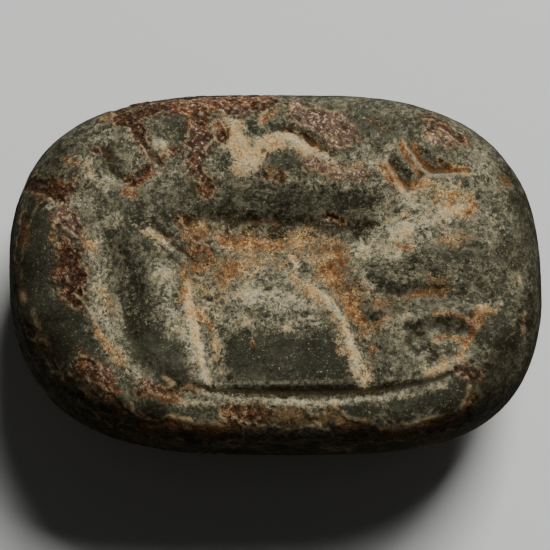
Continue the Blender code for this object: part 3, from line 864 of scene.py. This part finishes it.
# %% [markdown]
# ## The small relief
#
# Under a raking light the stone shows a slight unevenness of hand polish, fine grain where it
# is abraded, hair-thin tool marks along the cuts, broken patches in the deeper ones, and pits
# and grains where the crust grew. It could be left to bump in the material, but bump throws no
# shadow and leaves nothing in the mesh. All of it is about a third of a millimetre deep at most,
# so it is pushed along the surface's own normals, found from the grid's neighbours.

# %% Normals of the closed grid
def grid_normals(points):
    """Unit normals of a grid closed both ways: the cross product of the steps between the
    neighbours along its rings and along its spokes."""
    down = np.roll(points, -1, axis=0) - np.roll(points, 1, axis=0)
    across = np.roll(points, -1, axis=1) - np.roll(points, 1, axis=1)
    normal = np.cross(across, down)
    return normal / np.maximum(np.linalg.norm(normal, axis=-1, keepdims=True), TINY)


normals = grid_normals(form)
middle_of_top = normals[RINGS_OUTSIDE // 2, np.argmax(form[RINGS_OUTSIDE // 2, :, Z])]
OUTWARD = 1.0 if middle_of_top[Z] > 0 else -1.0
normals *= OUTWARD
print("normals turned by", OUTWARD)

# %% Strokes along the cuts
FULL_STROKE = 0.25         # where a cut is this deep its tool marks show in full


def stroke_place(number, x, y, path, left, right, depth, ends, peak, keen):
    """Where a point lies on one cut: millimetres along the path, millimetres across it, a
    number that keeps the cuts' noise apart, and how deep in the cut it is, 0 to 1."""
    curve = spline(path)
    near, run, side = along_path(curve, x, y)
    length = np.hypot(*np.diff(curve, axis=0).T).sum()
    here = cut_depth(x, y, path, left, right, depth, ends, peak, keen) / depth
    return np.stack([run * length, side * near, np.full(x.shape, 7.0 * number), here], axis=-1)


def drawn_out(places, along, across, seed):
    """Noise with cells `along` mm along the strokes and `across` mm across them."""
    return noise(places * np.array([1.0 / along, 1.0 / across, 1.0]), 1.0, seed)


strokes = np.zeros(face_x.shape + (3,))
in_stroke = np.zeros(face_x.shape)
for number, cut in enumerate(CUTS.values()):
    place = stroke_place(number, face_x, face_y, **cut)
    deeper = place[..., 3] * cut["depth"] > in_stroke
    strokes = np.where(deeper[..., None], place[..., :3], strokes)
    in_stroke = np.where(deeper, place[..., 3] * cut["depth"], in_stroke)
in_stroke = smooth(in_stroke / FULL_STROKE) * lift
furrows = drawn_out(strokes, 2.6, 0.24, 101) * in_stroke
streaks = drawn_out(strokes, 3.4, 0.5, 103) * in_stroke
print("strokes cover", round(float((in_stroke > 0.5).mean()) * 100, 1), "% of the grid")

# %% Where the skin has flaked
FLAKE_FROM = 0.55          # the skin lets go where the map and its noise pass this together
FLAKE_EDGE = 0.12          # and is wholly gone this much further
RIM_WIDTH = 0.05           # the pale rim, partly a painted highlight, lies this far outside the edge, and is as wide
LOOSE_FROM = 0.05          # no rim shows where the map is fainter than this

loose = np.maximum(1.1 * patina["tan"], patina["crust"])
past_edge = loose + 0.30 * clouds(form, 0.9, 91, octaves=4) - FLAKE_FROM
flaked = smooth(past_edge / FLAKE_EDGE)
# Pale rim on the skin's side of each flake's edge: partly the broken edge's colour, partly a painted
# highlight on the step.
rim_and_highlight = np.exp(-((past_edge + RIM_WIDTH) / RIM_WIDTH) ** 2) * (loose > LOOSE_FROM)
print("flaked:", round(float(flaked.mean()) * 100, 1), "% of the grid")

# %% Depths of the small relief, in millimetres
HAND_POLISH = 0.035        # slow unevenness of the whole skin
UNPOLISHED = 0.008         # grain where the polish is gone
FURROW = 0.016             # fine tool marks along the cuts
STREAK = 0.02              # and broader ones
FLAKE = 0.07
CRUST_LUMPS = 0.06
CRUST_PITS = 0.20
PINK_SHARE = 0.6           # how much shallower the pits of the pinkish crust are
BROKEN_FLOOR = 0.12
BROKEN_DROP = 0.04
CREST = 0.06
RIDGE = 0.12
WEAR_PITS = 0.07
HOLE_WALL = 0.03
PROUDEST = 0.16            # nothing stands up more than this
DEEPEST = 0.35             # and nothing goes deeper than this


crust = patina["crust"]
worn = np.clip(np.maximum(patina["chalk"], patina["cream"]) + 0.5 * patina["rust"], 0.0, 1.0)
unpolished = UNPOLISHED * (1.0 - 0.8 * patina["polish"])


def abraded(cell, seed, least, by_wear):
    """Grain of one size: clouds as deep as least + by_wear * worn + unpolished."""
    return (least + by_wear * worn + unpolished) * clouds(form, cell, seed, octaves=2)


relief = HAND_POLISH * clouds(form, 3.2, 67, octaves=2)
relief += abraded(0.9, 63, 0.006, 0.034) + abraded(0.42, 61, 0.004, 0.018)
relief += FURROW * furrows + STREAK * streaks
relief += FLAKE * flaked * (1.0 + 0.6 * noise(form, 1.4, 95))
relief += CRUST_LUMPS * crust * clouds(form, 0.55, 71, octaves=2)
relief += CRUST_PITS * crust * (1.0 - PINK_SHARE * pinkness) * pits(form, 0.6, 73, 0.6, 0.55)
relief += patina["broken"] * (BROKEN_FLOOR * clouds(form, 1.3, 97, octaves=3) + BROKEN_DROP)
relief -= CREST * patina["crest"] + RIDGE * patina["ridge"]
relief += WEAR_PITS * pits(form, 1.7, 79, 0.35, 0.22) * (0.3 + 0.7 * worn)
relief = np.where(is_hole, HOLE_WALL * clouds(form, 0.42, 61, octaves=2), relief)
relief = np.clip(relief, -PROUDEST, DEEPEST)
print("relief from", relief.min().round(3), "to", relief.max().round(3), "mm")

# %% Press the relief in, inside the solid's box
HAIR = 0.008               # the dressed stone stays this far inside the box; the foot meets the floor

surface = form - normals * relief[..., None]
low = np.array(cad_low) / MM + [HAIR, HAIR, 0.0]
high = np.array(cad_high) / MM - HAIR
surface = np.clip(surface, low, high)
print("stone spans", (surface.max(axis=(0, 1)) - surface.min(axis=(0, 1))).round(2), "mm")

# %% [markdown]
# ## The mesh
#
# The grid closes on itself both ways, so every row and column meets its neighbour by counting
# round, and no seam is left open. The faces could be made one by one with bmesh, but numpy
# numbers them all at once. The mesh carries the maps as colour attributes, because an attribute
# can follow the cuts as no pattern in space can, and a UV map unrolls the grid, with more room
# for the face.

# %% Build the stone
def closed_grid_faces(rows, columns):
    """Corner numbers of the four-sided faces between neighbouring grid points, both ways round."""
    numbers = np.arange(rows * columns).reshape(rows, columns)
    below = np.roll(numbers, -1, axis=0)
    beside = np.roll(numbers, -1, axis=1)
    opposite = np.roll(below, -1, axis=1)
    return np.stack([numbers, beside, opposite, below], axis=-1).reshape(-1, 4)


rows, columns = surface.shape[:2]
faces = closed_grid_faces(rows, columns)
if OUTWARD < 0:
    faces = faces[:, ::-1]

mesh = bpy.data.meshes.new("seal_stone")
mesh.from_pydata((surface * MM).reshape(-1, 3), [], faces)
mesh.shade_smooth()
stone = bpy.data.objects.new("seal_stone", mesh)
bpy.context.scene.collection.objects.link(stone)

corners = surface.reshape(-1, 3)[faces]
volume = np.einsum("ij,ij->i", corners[:, 0], np.cross(corners[:, 1], corners[:, 2])).sum() / 6
volume += np.einsum("ij,ij->i", corners[:, 0], np.cross(corners[:, 2], corners[:, 3])).sum() / 6
print("faces:", len(faces), "volume:", round(float(volume) / 1000, 2), "cubic cm")

# %% Painted shade and grime by the lie of the skin
TILT_UNSHADED = 0.66          # where the normal rises more steeply than this no shade is painted
TILT_SHADED = 0.28          # and under this the painted shade is full
LEAST_SHADE_AND_GRIME = 0.12         # share of the painted shade and grime that is left low down
SHADE_AND_GRIME_FROM = 4.6           # it grows from this height
SHADE_AND_GRIME_SPAN = 3.2           # and is full this much higher


def hollowness(points, normal, rings):
    """How far the neighbours some rings away stand above the surface, in millimetres: positive
    in a hollow and negative on a ridge."""
    around = np.zeros(points.shape)
    for axis in (0, 1):
        for step in (-rings, rings):
            around += np.roll(points, step, axis=axis) / 4
    return np.einsum("ijk,ijk->ij", around - points, normal)


small_hollow = hollowness(surface, normals, 2)
# Painted shade with some grime: the skin is darkened where its normal tilts far from straight up, high
# on the steep sides, which stands in for their shade; the dirt daubs add more.
tilted = smooth((TILT_UNSHADED - normals[..., Z]) / (TILT_UNSHADED - TILT_SHADED))
ragged_height = form[..., Z] + broad + middling
held = LEAST_SHADE_AND_GRIME + (1.0 - LEAST_SHADE_AND_GRIME) * smooth((ragged_height - SHADE_AND_GRIME_FROM) / SHADE_AND_GRIME_SPAN)
shade_and_grime = np.maximum(tilted * held, patina["dirt"])
print("grime covers", round(float((shade_and_grime > 0.5).mean()) * 100, 1), "% of the grid")

# %% Wear, as one cover with a warmth
SHARE_OF = {"chalk": 0.80, "cream": 0.94, "rust": 0.82}
WARMTH_OF = {"chalk": 0.18, "cream": 0.44, "rust": 0.86}

cover = np.maximum.reduce([SHARE_OF[kind] * patina[kind] for kind in SHARE_OF])
weight = sum(patina[kind] ** 2 for kind in WARMTH_OF) + TINY
warmth = sum(WARMTH_OF[kind] * patina[kind] ** 2 for kind in WARMTH_OF) / weight
rim_and_highlight = np.maximum(np.clip(rim_and_highlight, 0.0, 1.0), patina["crest"])
print("mean cover:", round(float(cover.mean()), 2), "mean warmth:", round(float(warmth.mean()), 2))

# %% Maps as attributes
def add_vectors(name, vectors):
    """An attribute with one vector for each point of the mesh."""
    attribute = mesh.attributes.new(name, "FLOAT_VECTOR", "POINT")
    attribute.data.foreach_set("vector", vectors.astype(np.float32).ravel())


def add_map(name, channels):
    """A colour attribute with one map in each of its four channels."""
    values = np.stack([np.broadcast_to(c, surface.shape[:2]) for c in channels], axis=-1)
    attribute = mesh.attributes.new(name, "FLOAT_COLOR", "POINT")
    attribute.data.foreach_set("color", values.astype(np.float32).ravel())


add_map("patina", (cover, warmth, patina["soil"], crust))
add_map("skin", (patina["polish"], patina["tan"], pinkness, rim_and_highlight))
add_map("lie", (0.5 + 0.5 * streaks, 0.5 + 6.0 * small_hollow, shade_and_grime, in_stroke))
add_vectors("strokes", strokes)
print("maps on", len(mesh.attributes["patina"].data), "points")

# %% The unrolled UV map
def unrolled(place, count):
    """Place in the grid as a share from 0 to 1. A face that closes the grid has a corner back at
    place 0, which counts as 1, so that no face is stretched across the whole map."""
    closing = place.max(axis=1, keepdims=True) == count - 1
    return np.where((place == 0) & closing, 1.0, place / count)


uv = np.stack([unrolled(faces % columns, columns), unrolled(faces // columns, rows)], axis=-1)
layer = mesh.uv_layers.new(name="OFBake")
layer.data.foreach_set("uv", uv.astype(np.float32).ravel())
print("UV map spans", uv.min().round(2), "to", uv.max().round(2))

# %% [markdown]
# ## The stone's finish
#
# The ground colour is a dark olive green with paler, abraded clouds and fine scratches along the
# cuts. Over it lie, in turn, the tan layer where the skin flaked off, and the chalky, cream and
# rusty wear: one cover, whose warmth picks its colour from a ramp. Then come the soil, a brown
# halo and the crust with its pale grains, the pale rims of flakes, partly a painted highlight, dark
# pores, light specks and grit, small hollows darkened partly by deposit and partly by painted
# shade, the rubbed edges, and over all a near-black painted shade on the steep sides, with some
# grime. Most maps are densities: the share of the area that is covered, while noise of a few sizes
# says where, so that even the middle of a daub is mottled down to a tenth of a millimetre. Painted
# images could do the same, but the noise stays sharp however close the eye comes. The gloss is low
# and the same all over, and the roughness follows the maps: bare stone keeps a dull polish, while
# the painted shade and grime, and the soil, are matt.

# %% A small helper for node trees
material = bpy.data.materials.new("worn green stone")
material.use_nodes = True
tree = material.node_tree
shader = tree.nodes["Principled BSDF"]


def put(socket, value):
    """Link a socket to a socket, or set a plain value."""
    if isinstance(value, bpy.types.NodeSocket):
        tree.links.new(value, socket)
    else:
        socket.default_value = value


def math_node(operation, *values):
    """One step of arithmetic on up to three values."""
    node = tree.nodes.new("ShaderNodeMath")
    node.operation = operation
    for socket, value in zip(node.inputs, values):
        put(socket, value)
    return node.outputs[0]


def times(first, second):
    """first * second."""
    return math_node("MULTIPLY", first, second)


def plus(first, second):
    """first + second."""
    return math_node("ADD", first, second)


def times_plus(first, second, third):
    """first * second + third."""
    return math_node("MULTIPLY_ADD", first, second, third)


def ramp(value, start, end, low=0.0, high=1.0):
    """A value taken smoothly from low to high while the input goes from start to end."""
    node = tree.nodes.new("ShaderNodeMapRange")
    node.interpolation_type = "SMOOTHSTEP"
    names = ("Value", "From Min", "From Max", "To Min", "To Max")
    for name, part in zip(names, (value, start, end, low, high)):
        put(node.inputs[name], part)
    return node.outputs["Result"]


def mix(share, under, over, way="MIX"):
    """Colour over laid on colour under by a share; the way MULTIPLY multiplies them instead."""
    node = tree.nodes.new("ShaderNodeMix")
    node.data_type = "RGBA"
    node.blend_type = way
    put(node.inputs["Factor"], share)
    put(node.inputs["A"], under)
    put(node.inputs["B"], over)
    return node.outputs["Result"]


print("empty material has", len(tree.nodes), "nodes")

# %% Noises of the finish
coordinates = tree.nodes.new("ShaderNodeTexCoord").outputs["Object"]


def grain(size, detail=2.0, rough=0.5, curl=0.0, place=coordinates):
    """Noise of a given size on the stone; curl twists it into fibres."""
    node = tree.nodes.new("ShaderNodeTexNoise")
    put(node.inputs["Vector"], place)
    node.inputs["Scale"].default_value = 1.0 / size
    node.inputs["Detail"].default_value = detail
    node.inputs["Roughness"].default_value = rough
    node.inputs["Distortion"].default_value = curl
    return node.outputs["Fac"]


tiny = grain(0.12 * MM, detail=1.0, rough=0.6)
crumbs = grain(0.24 * MM, detail=2.0, rough=0.7, curl=0.5)
fine = grain(0.30 * MM, detail=3.0, rough=0.8)
weave = grain(0.30 * MM, detail=4.0, rough=0.85, curl=1.0)
fibre = grain(0.8 * MM, detail=5.0, rough=0.85, curl=0.8)
middle = grain(1.1 * MM, detail=5.0, rough=0.8)
large_grain = grain(1.6 * MM, detail=4.0, rough=0.75)
large = grain(4.0 * MM, detail=3.0, rough=0.55)
print("with its noises:", len(tree.nodes), "nodes")

# %% Scratches drawn out along the cuts
SCRATCH_LENGTH = 1.5       # millimetres
SCRATCH_WIDTH = 0.16

stroke_node = tree.nodes.new("ShaderNodeAttribute")
stroke_node.attribute_name = "strokes"
squeeze = tree.nodes.new("ShaderNodeMapping")
put(squeeze.inputs["Vector"], stroke_node.outputs["Vector"])
squeeze.inputs["Scale"].default_value = (1 / SCRATCH_LENGTH, 1 / SCRATCH_WIDTH, 1.0)
scratch = grain(1.0, detail=3.0, rough=0.7, place=squeeze.outputs["Vector"])
print("scratches about", SCRATCH_LENGTH, "by", SCRATCH_WIDTH, "mm")

# %% The maps, and how a density becomes a cover
def read_map(name):
    """The four channels of a colour attribute."""
    node = tree.nodes.new("ShaderNodeAttribute")
    node.attribute_name = name
    split = tree.nodes.new("ShaderNodeSeparateColor")
    put(split.inputs[0], node.outputs["Color"])
    return [split.outputs[0], split.outputs[1], split.outputs[2], node.outputs["Alpha"]]


def mottled(density, noise_value, soft, low=0.36, high=0.64):
    """Cover whose share of the area is the density. The noise runs from low to high and is
    spread evenly over 0 to 1; the cover lies where it passes (1 + soft) - density * (1 + 2 soft),
    with an edge as wide as soft on either side."""
    even = ramp(noise_value, low, high)
    middle_of_edge = times_plus(density, -1.0 - 2.0 * soft, 1.0 + soft)
    start = math_node("SUBTRACT", middle_of_edge, soft)
    end = plus(middle_of_edge, soft)
    return ramp(even, start, end)


cover, warmth, soil, crust_map = read_map("patina")
polish, tan, pink_map, rim_and_highlight_map = read_map("skin")
streak_map, small_lie, shade_and_grime_map, stroke_map = read_map("lie")
print("material starts with", len(tree.nodes), "nodes")

# %% Colours
DEEP_GREEN = (0.0275, 0.0283, 0.0172, 1.0)
MID_GREEN = (0.049, 0.049, 0.0305, 1.0)
WORN_GREEN = (0.133, 0.122, 0.076, 1.0)
SPECK = (0.31, 0.275, 0.18, 1.0)
WEAR_BY_WARMTH = [
    (0.00, (0.235, 0.225, 0.150, 1.0)),      # grey-green abrasion
    (0.25, (0.350, 0.305, 0.190, 1.0)),      # chalk
    (0.50, (0.470, 0.330, 0.155, 1.0)),      # cream
    (0.70, (0.320, 0.170, 0.062, 1.0)),      # pale rust
    (0.88, (0.170, 0.066, 0.018, 1.0)),      # rust
    (1.00, (0.070, 0.026, 0.009, 1.0)),      # dark rust
]
TAN = (0.12, 0.080, 0.036, 1.0)
BROWN = (0.040, 0.021, 0.010, 1.0)
# pale rims and crests of flaked skin, partly a painted highlight
PALE_RIM_AND_HIGHLIGHT = (0.36, 0.24, 0.12, 1.0)
# painted shade with some grime: near-black for the steep, shaded sides
SHADE_AND_GRIME = (0.009, 0.0073, 0.0032, 1.0)
SOIL = (0.017, 0.012, 0.0058, 1.0)
OLIVE_SOIL = (0.050, 0.042, 0.020, 1.0)
RUSTY_SOIL = (0.075, 0.032, 0.010, 1.0)
HALO = (0.075, 0.032, 0.012, 1.0)
CRUST_DARK = (0.014, 0.006, 0.003, 1.0)
CRUST_BROWN = (0.070, 0.029, 0.014, 1.0)
CRUST_ORANGE = (0.16, 0.058, 0.018, 1.0)
CRUST_PINK = (0.115, 0.070, 0.050, 1.0)
GRAIN_TAN = (0.26, 0.155, 0.080, 1.0)
GRAIN_PINK = (0.43, 0.33, 0.245, 1.0)
print("colours of wear:", len(WEAR_BY_WARMTH))

# %% The green stone
in_places = times(stroke_map, ramp(large_grain, 0.44, 0.62, 0.15, 1.0))
scratched = times(ramp(scratch, 0.36, 0.64, -0.5, 0.5), in_places)
streaked = times_plus(scratched, 0.35, times_plus(streak_map, 0.4, -0.2))
bare = plus(times_plus(polish, -0.42, 0.48), streaked)
bare = times_plus(cover, 0.45, bare)
ground = mix(ramp(large, 0.38, 0.64), DEEP_GREEN, MID_GREEN)
worn_noise = times_plus(fine, 0.35, times(middle, 0.65))
worn_share = mottled(bare, worn_noise, 0.45, 0.38, 0.62)
worn_share = times(worn_share, ramp(weave, 0.40, 0.56, 0.48, 0.94))
ground = mix(worn_share, ground, WORN_GREEN)
print("green stone:", len(tree.nodes), "nodes")

# %% The tan layer and the wear
tan_share = mottled(tan, middle, 0.2)
tan_colour = mix(ramp(middle, 0.40, 0.60), BROWN, TAN)
colour = mix(tan_share, ground, tan_colour)

density = times_plus(streaked, cover, cover)
veil = times(times(density, density), 0.22)
dust = times_plus(weave, 0.28, times(fibre, 0.72))
cover_share = times_plus(mottled(density, dust, 0.45, 0.39, 0.61), 0.78, veil)
shade_noise = plus(ramp(middle, 0.34, 0.66, -0.26, 0.26), ramp(fine, 0.36, 0.64, -0.16, 0.16))
wear_colour = tree.nodes.new("ShaderNodeValToRGB")
put(wear_colour.inputs[0], plus(warmth, shade_noise))
stops = wear_colour.color_ramp.elements
for number, (position, tone) in enumerate(WEAR_BY_WARMTH):
    stop = stops[number] if number < 2 else stops.new(position)
    stop.position = position
    stop.color = tone
colour = mix(cover_share, colour, wear_colour.outputs["Color"])
print("with wear:", len(tree.nodes), "nodes")

# %% Soil, crust and the rims of flakes
soil_share = mottled(times(soil, 0.85), fibre, 0.3)
colour = mix(soil_share, colour, mix(ramp(fine, 0.42, 0.60), SOIL, OLIVE_SOIL))

halo = times(ramp(crust_map, 0.05, 0.45, 0.0, 0.75), ramp(middle, 0.40, 0.58, 0.3, 1.0))
colour = mix(halo, colour, HALO)
crust_share = mottled(crust_map, middle, 0.12)
crust_colour = mix(ramp(fine, 0.44, 0.56), CRUST_DARK, CRUST_BROWN)
crust_colour = mix(ramp(large_grain, 0.50, 0.60, 0.0, 0.65), crust_colour, CRUST_ORANGE)
crust_colour = mix(times(pink_map, 0.8), crust_colour, CRUST_PINK)
clumps = ramp(large_grain, 0.42, 0.60, 0.0, 0.19)
grain_share = mottled(times_plus(pink_map, 0.20, clumps), crumbs, 0.16)
grain_colour = mix(ramp(fine, 0.42, 0.58), GRAIN_TAN, GRAIN_PINK)
crust_colour = mix(grain_share, crust_colour, grain_colour)
colour = mix(crust_share, colour, crust_colour)

# Pale rims and crests: partly the broken skin's colour, partly a painted highlight along the raised
# edges.
rim_and_highlight_share = times(rim_and_highlight_map, ramp(middle, 0.40, 0.60, 0.25, 1.0))
colour = mix(rim_and_highlight_share, colour, PALE_RIM_AND_HIGHLIGHT)
print("with crust:", len(tree.nodes), "nodes")

# %% Pores, specks and grit
pores = times(ramp(weave, 0.54, 0.42), ramp(middle, 0.60, 0.40, 0.25, 0.85))
pores = times(pores, ramp(cover, 0.6, 1.0, 1.0, 0.5))
colour = mix(pores, colour, SOIL)
speck_places = times(ramp(fine, 0.48, 0.62), ramp(large_grain, 0.40, 0.60, 0.15, 0.9))
speck_share = times(ramp(tiny, 0.54, 0.70), times(speck_places, 0.9))
colour = mix(speck_share, colour, SPECK)
grit = ramp(times_plus(tiny, 0.5, times(weave, 0.5)), 0.38, 0.62, 0.81, 1.19)
colour = mix(times_plus(polish, -0.6, 1.0), colour, grit, "MULTIPLY")
print("with grit:", len(tree.nodes), "nodes")

# %% Deposit and painted shade in hollows, rubbed edges, and painted shade with grime
# Small hollows darkened with soil and rusty colour: partly deposit, partly painted shade in the creases.
hollow_deposit_and_shade = ramp(small_lie, 0.54, 0.85, 0.0, 0.75)
deposit_and_crease_shade = mix(times(cover, ramp(warmth, 0.4, 0.8)), SOIL, RUSTY_SOIL)
colour = mix(hollow_deposit_and_shade, colour, deposit_and_crease_shade)
rubbed = times(ramp(small_lie, 0.46, 0.15, 0.0, 0.45), ramp(fine, 0.35, 0.6))
colour = mix(rubbed, colour, SPECK)
# painted shade with some grime, over the steep sides and the dirt daubs
shade_and_grime_share = times(shade_and_grime_map, ramp(middle, 0.3, 0.6, 0.92, 0.7))
colour = mix(shade_and_grime_share, colour, SHADE_AND_GRIME)
put(shader.inputs["Base Color"], colour)
print("whole colour:", len(tree.nodes), "nodes")

# %% Gloss and fine bump
GLOSS = 0.03
MATT = 0.35                # how much rougher the painted shade and grime, and the soil, are
BUMP_STRENGTH = 0.9
BUMP_HEIGHT = 0.08         # millimetres

dull = ramp(middle, 0.3, 0.7, 0.50, 0.62)
roughness = times_plus(cover_share, 0.2, dull)
roughness = times_plus(crust_share, -0.12, roughness)
matt = math_node("MAXIMUM", shade_and_grime_map, soil)
put(shader.inputs["Roughness"], times_plus(matt, MATT, roughness))
shader.inputs["Specular IOR Level"].default_value = GLOSS
shader.inputs["Metallic"].default_value = 0.0

bump = tree.nodes.new("ShaderNodeBump")
bump.inputs["Strength"].default_value = BUMP_STRENGTH
bump.inputs["Distance"].default_value = BUMP_HEIGHT * MM
height_map = times_plus(times(grain_share, crust_share), 0.5, times_plus(weave, 0.7, fibre))
put(bump.inputs["Height"], times_plus(scratched, 0.25, height_map))
put(shader.inputs["Normal"], bump.outputs["Normal"])

mesh.materials.append(material)
print("material has", len(tree.nodes), "nodes")

# %% The stone rides on the solid's body and stands for it
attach(stone, "root")
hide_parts("seal")
print(stone.name, "rides on root and stands for seal")

# %% [markdown]
# ## Floor, light and camera
#
# The seal lies on its back on a plain pale floor. One soft light stands behind it, a little to
# the right and about half way up, so that it rakes down across the face and leaves the near
# side dark; a lamp from the camera's side would flatten the cuts. There is no fill lamp: a
# faint, even pale sky keeps the shadow open. The camera looks steeply down through a long lens,
# as a catalogue shows such seals.

# %% Floor
HALF_FLOOR = 1.5           # metres
FLOOR_GREY = (0.52, 0.52, 0.51, 1.0)

floor_corners = [(x * HALF_FLOOR, y * HALF_FLOOR, 0) for x, y in ((-1, -1), (1, -1), (1, 1), (-1, 1))]
floor_mesh = bpy.data.meshes.new("floor")
floor_mesh.from_pydata(floor_corners, [], [(0, 1, 2, 3)])
floor = bpy.data.objects.new("floor", floor_mesh)
bpy.context.scene.collection.objects.link(floor)
floor_material = bpy.data.materials.new("pale floor")
floor_material.use_nodes = True
floor_shader = floor_material.node_tree.nodes["Principled BSDF"]
floor_shader.inputs["Base Color"].default_value = FLOOR_GREY
floor_shader.inputs["Roughness"].default_value = 0.9
floor_mesh.materials.append(floor_material)
print("floor is", 2 * HALF_FLOOR, "m wide")

# %% Light from behind
KEY_BEARING = 152.0        # degrees from the front, -Y, round towards +X
KEY_ELEVATION = 46.0
KEY_DISTANCE = 0.6         # metres
KEY_SIZE = 0.26
KEY_POWER = 7.4            # watts
SKY_STRENGTH = 0.04

bearing = math.radians(KEY_BEARING)
elevation = math.radians(KEY_ELEVATION)
towards_key = np.array([
    math.sin(bearing) * math.cos(elevation),
    -math.cos(bearing) * math.cos(elevation),
    math.sin(elevation),
])
lamp = bpy.data.lights.new("key", "AREA")
lamp.size = KEY_SIZE
lamp.energy = KEY_POWER
key = bpy.data.objects.new("key", lamp)
bpy.context.scene.collection.objects.link(key)
key.location = KEY_DISTANCE * towards_key
key.rotation_mode = "QUATERNION"
key.rotation_quaternion = key.location.to_track_quat("Z", "Y")

world = bpy.data.worlds.new("studio")
world.use_nodes = True
sky = world.node_tree.nodes["Background"]
sky.inputs["Color"].default_value = (1.0, 1.0, 1.0, 1.0)
sky.inputs["Strength"].default_value = SKY_STRENGTH
bpy.context.scene.world = world
print("key light at", [round(part, 2) for part in key.location], "m")

# %% Camera
CAMERA_ELEVATION = 76.0    # degrees above the floor
LENS = 150.0
SENSOR = 36.0
DISTANCE = 174.0           # millimetres from where it aims
AIM = np.array([0.0, 0.2, 7.0])

camera_data = bpy.data.cameras.new("camera")
camera_data.lens = LENS
camera_data.sensor_width = SENSOR
camera_data.clip_start = 0.01
camera_data.clip_end = 10.0
camera = bpy.data.objects.new("camera", camera_data)
bpy.context.scene.collection.objects.link(camera)
tilt = math.radians(CAMERA_ELEVATION)
camera.location = (AIM + DISTANCE * np.array([0.0, -math.cos(tilt), math.sin(tilt)])) * MM
camera.rotation_euler = (math.pi / 2 - tilt, 0.0, 0.0)
bpy.context.scene.camera = camera
print("camera at", [round(part, 3) for part in camera.location], "m")
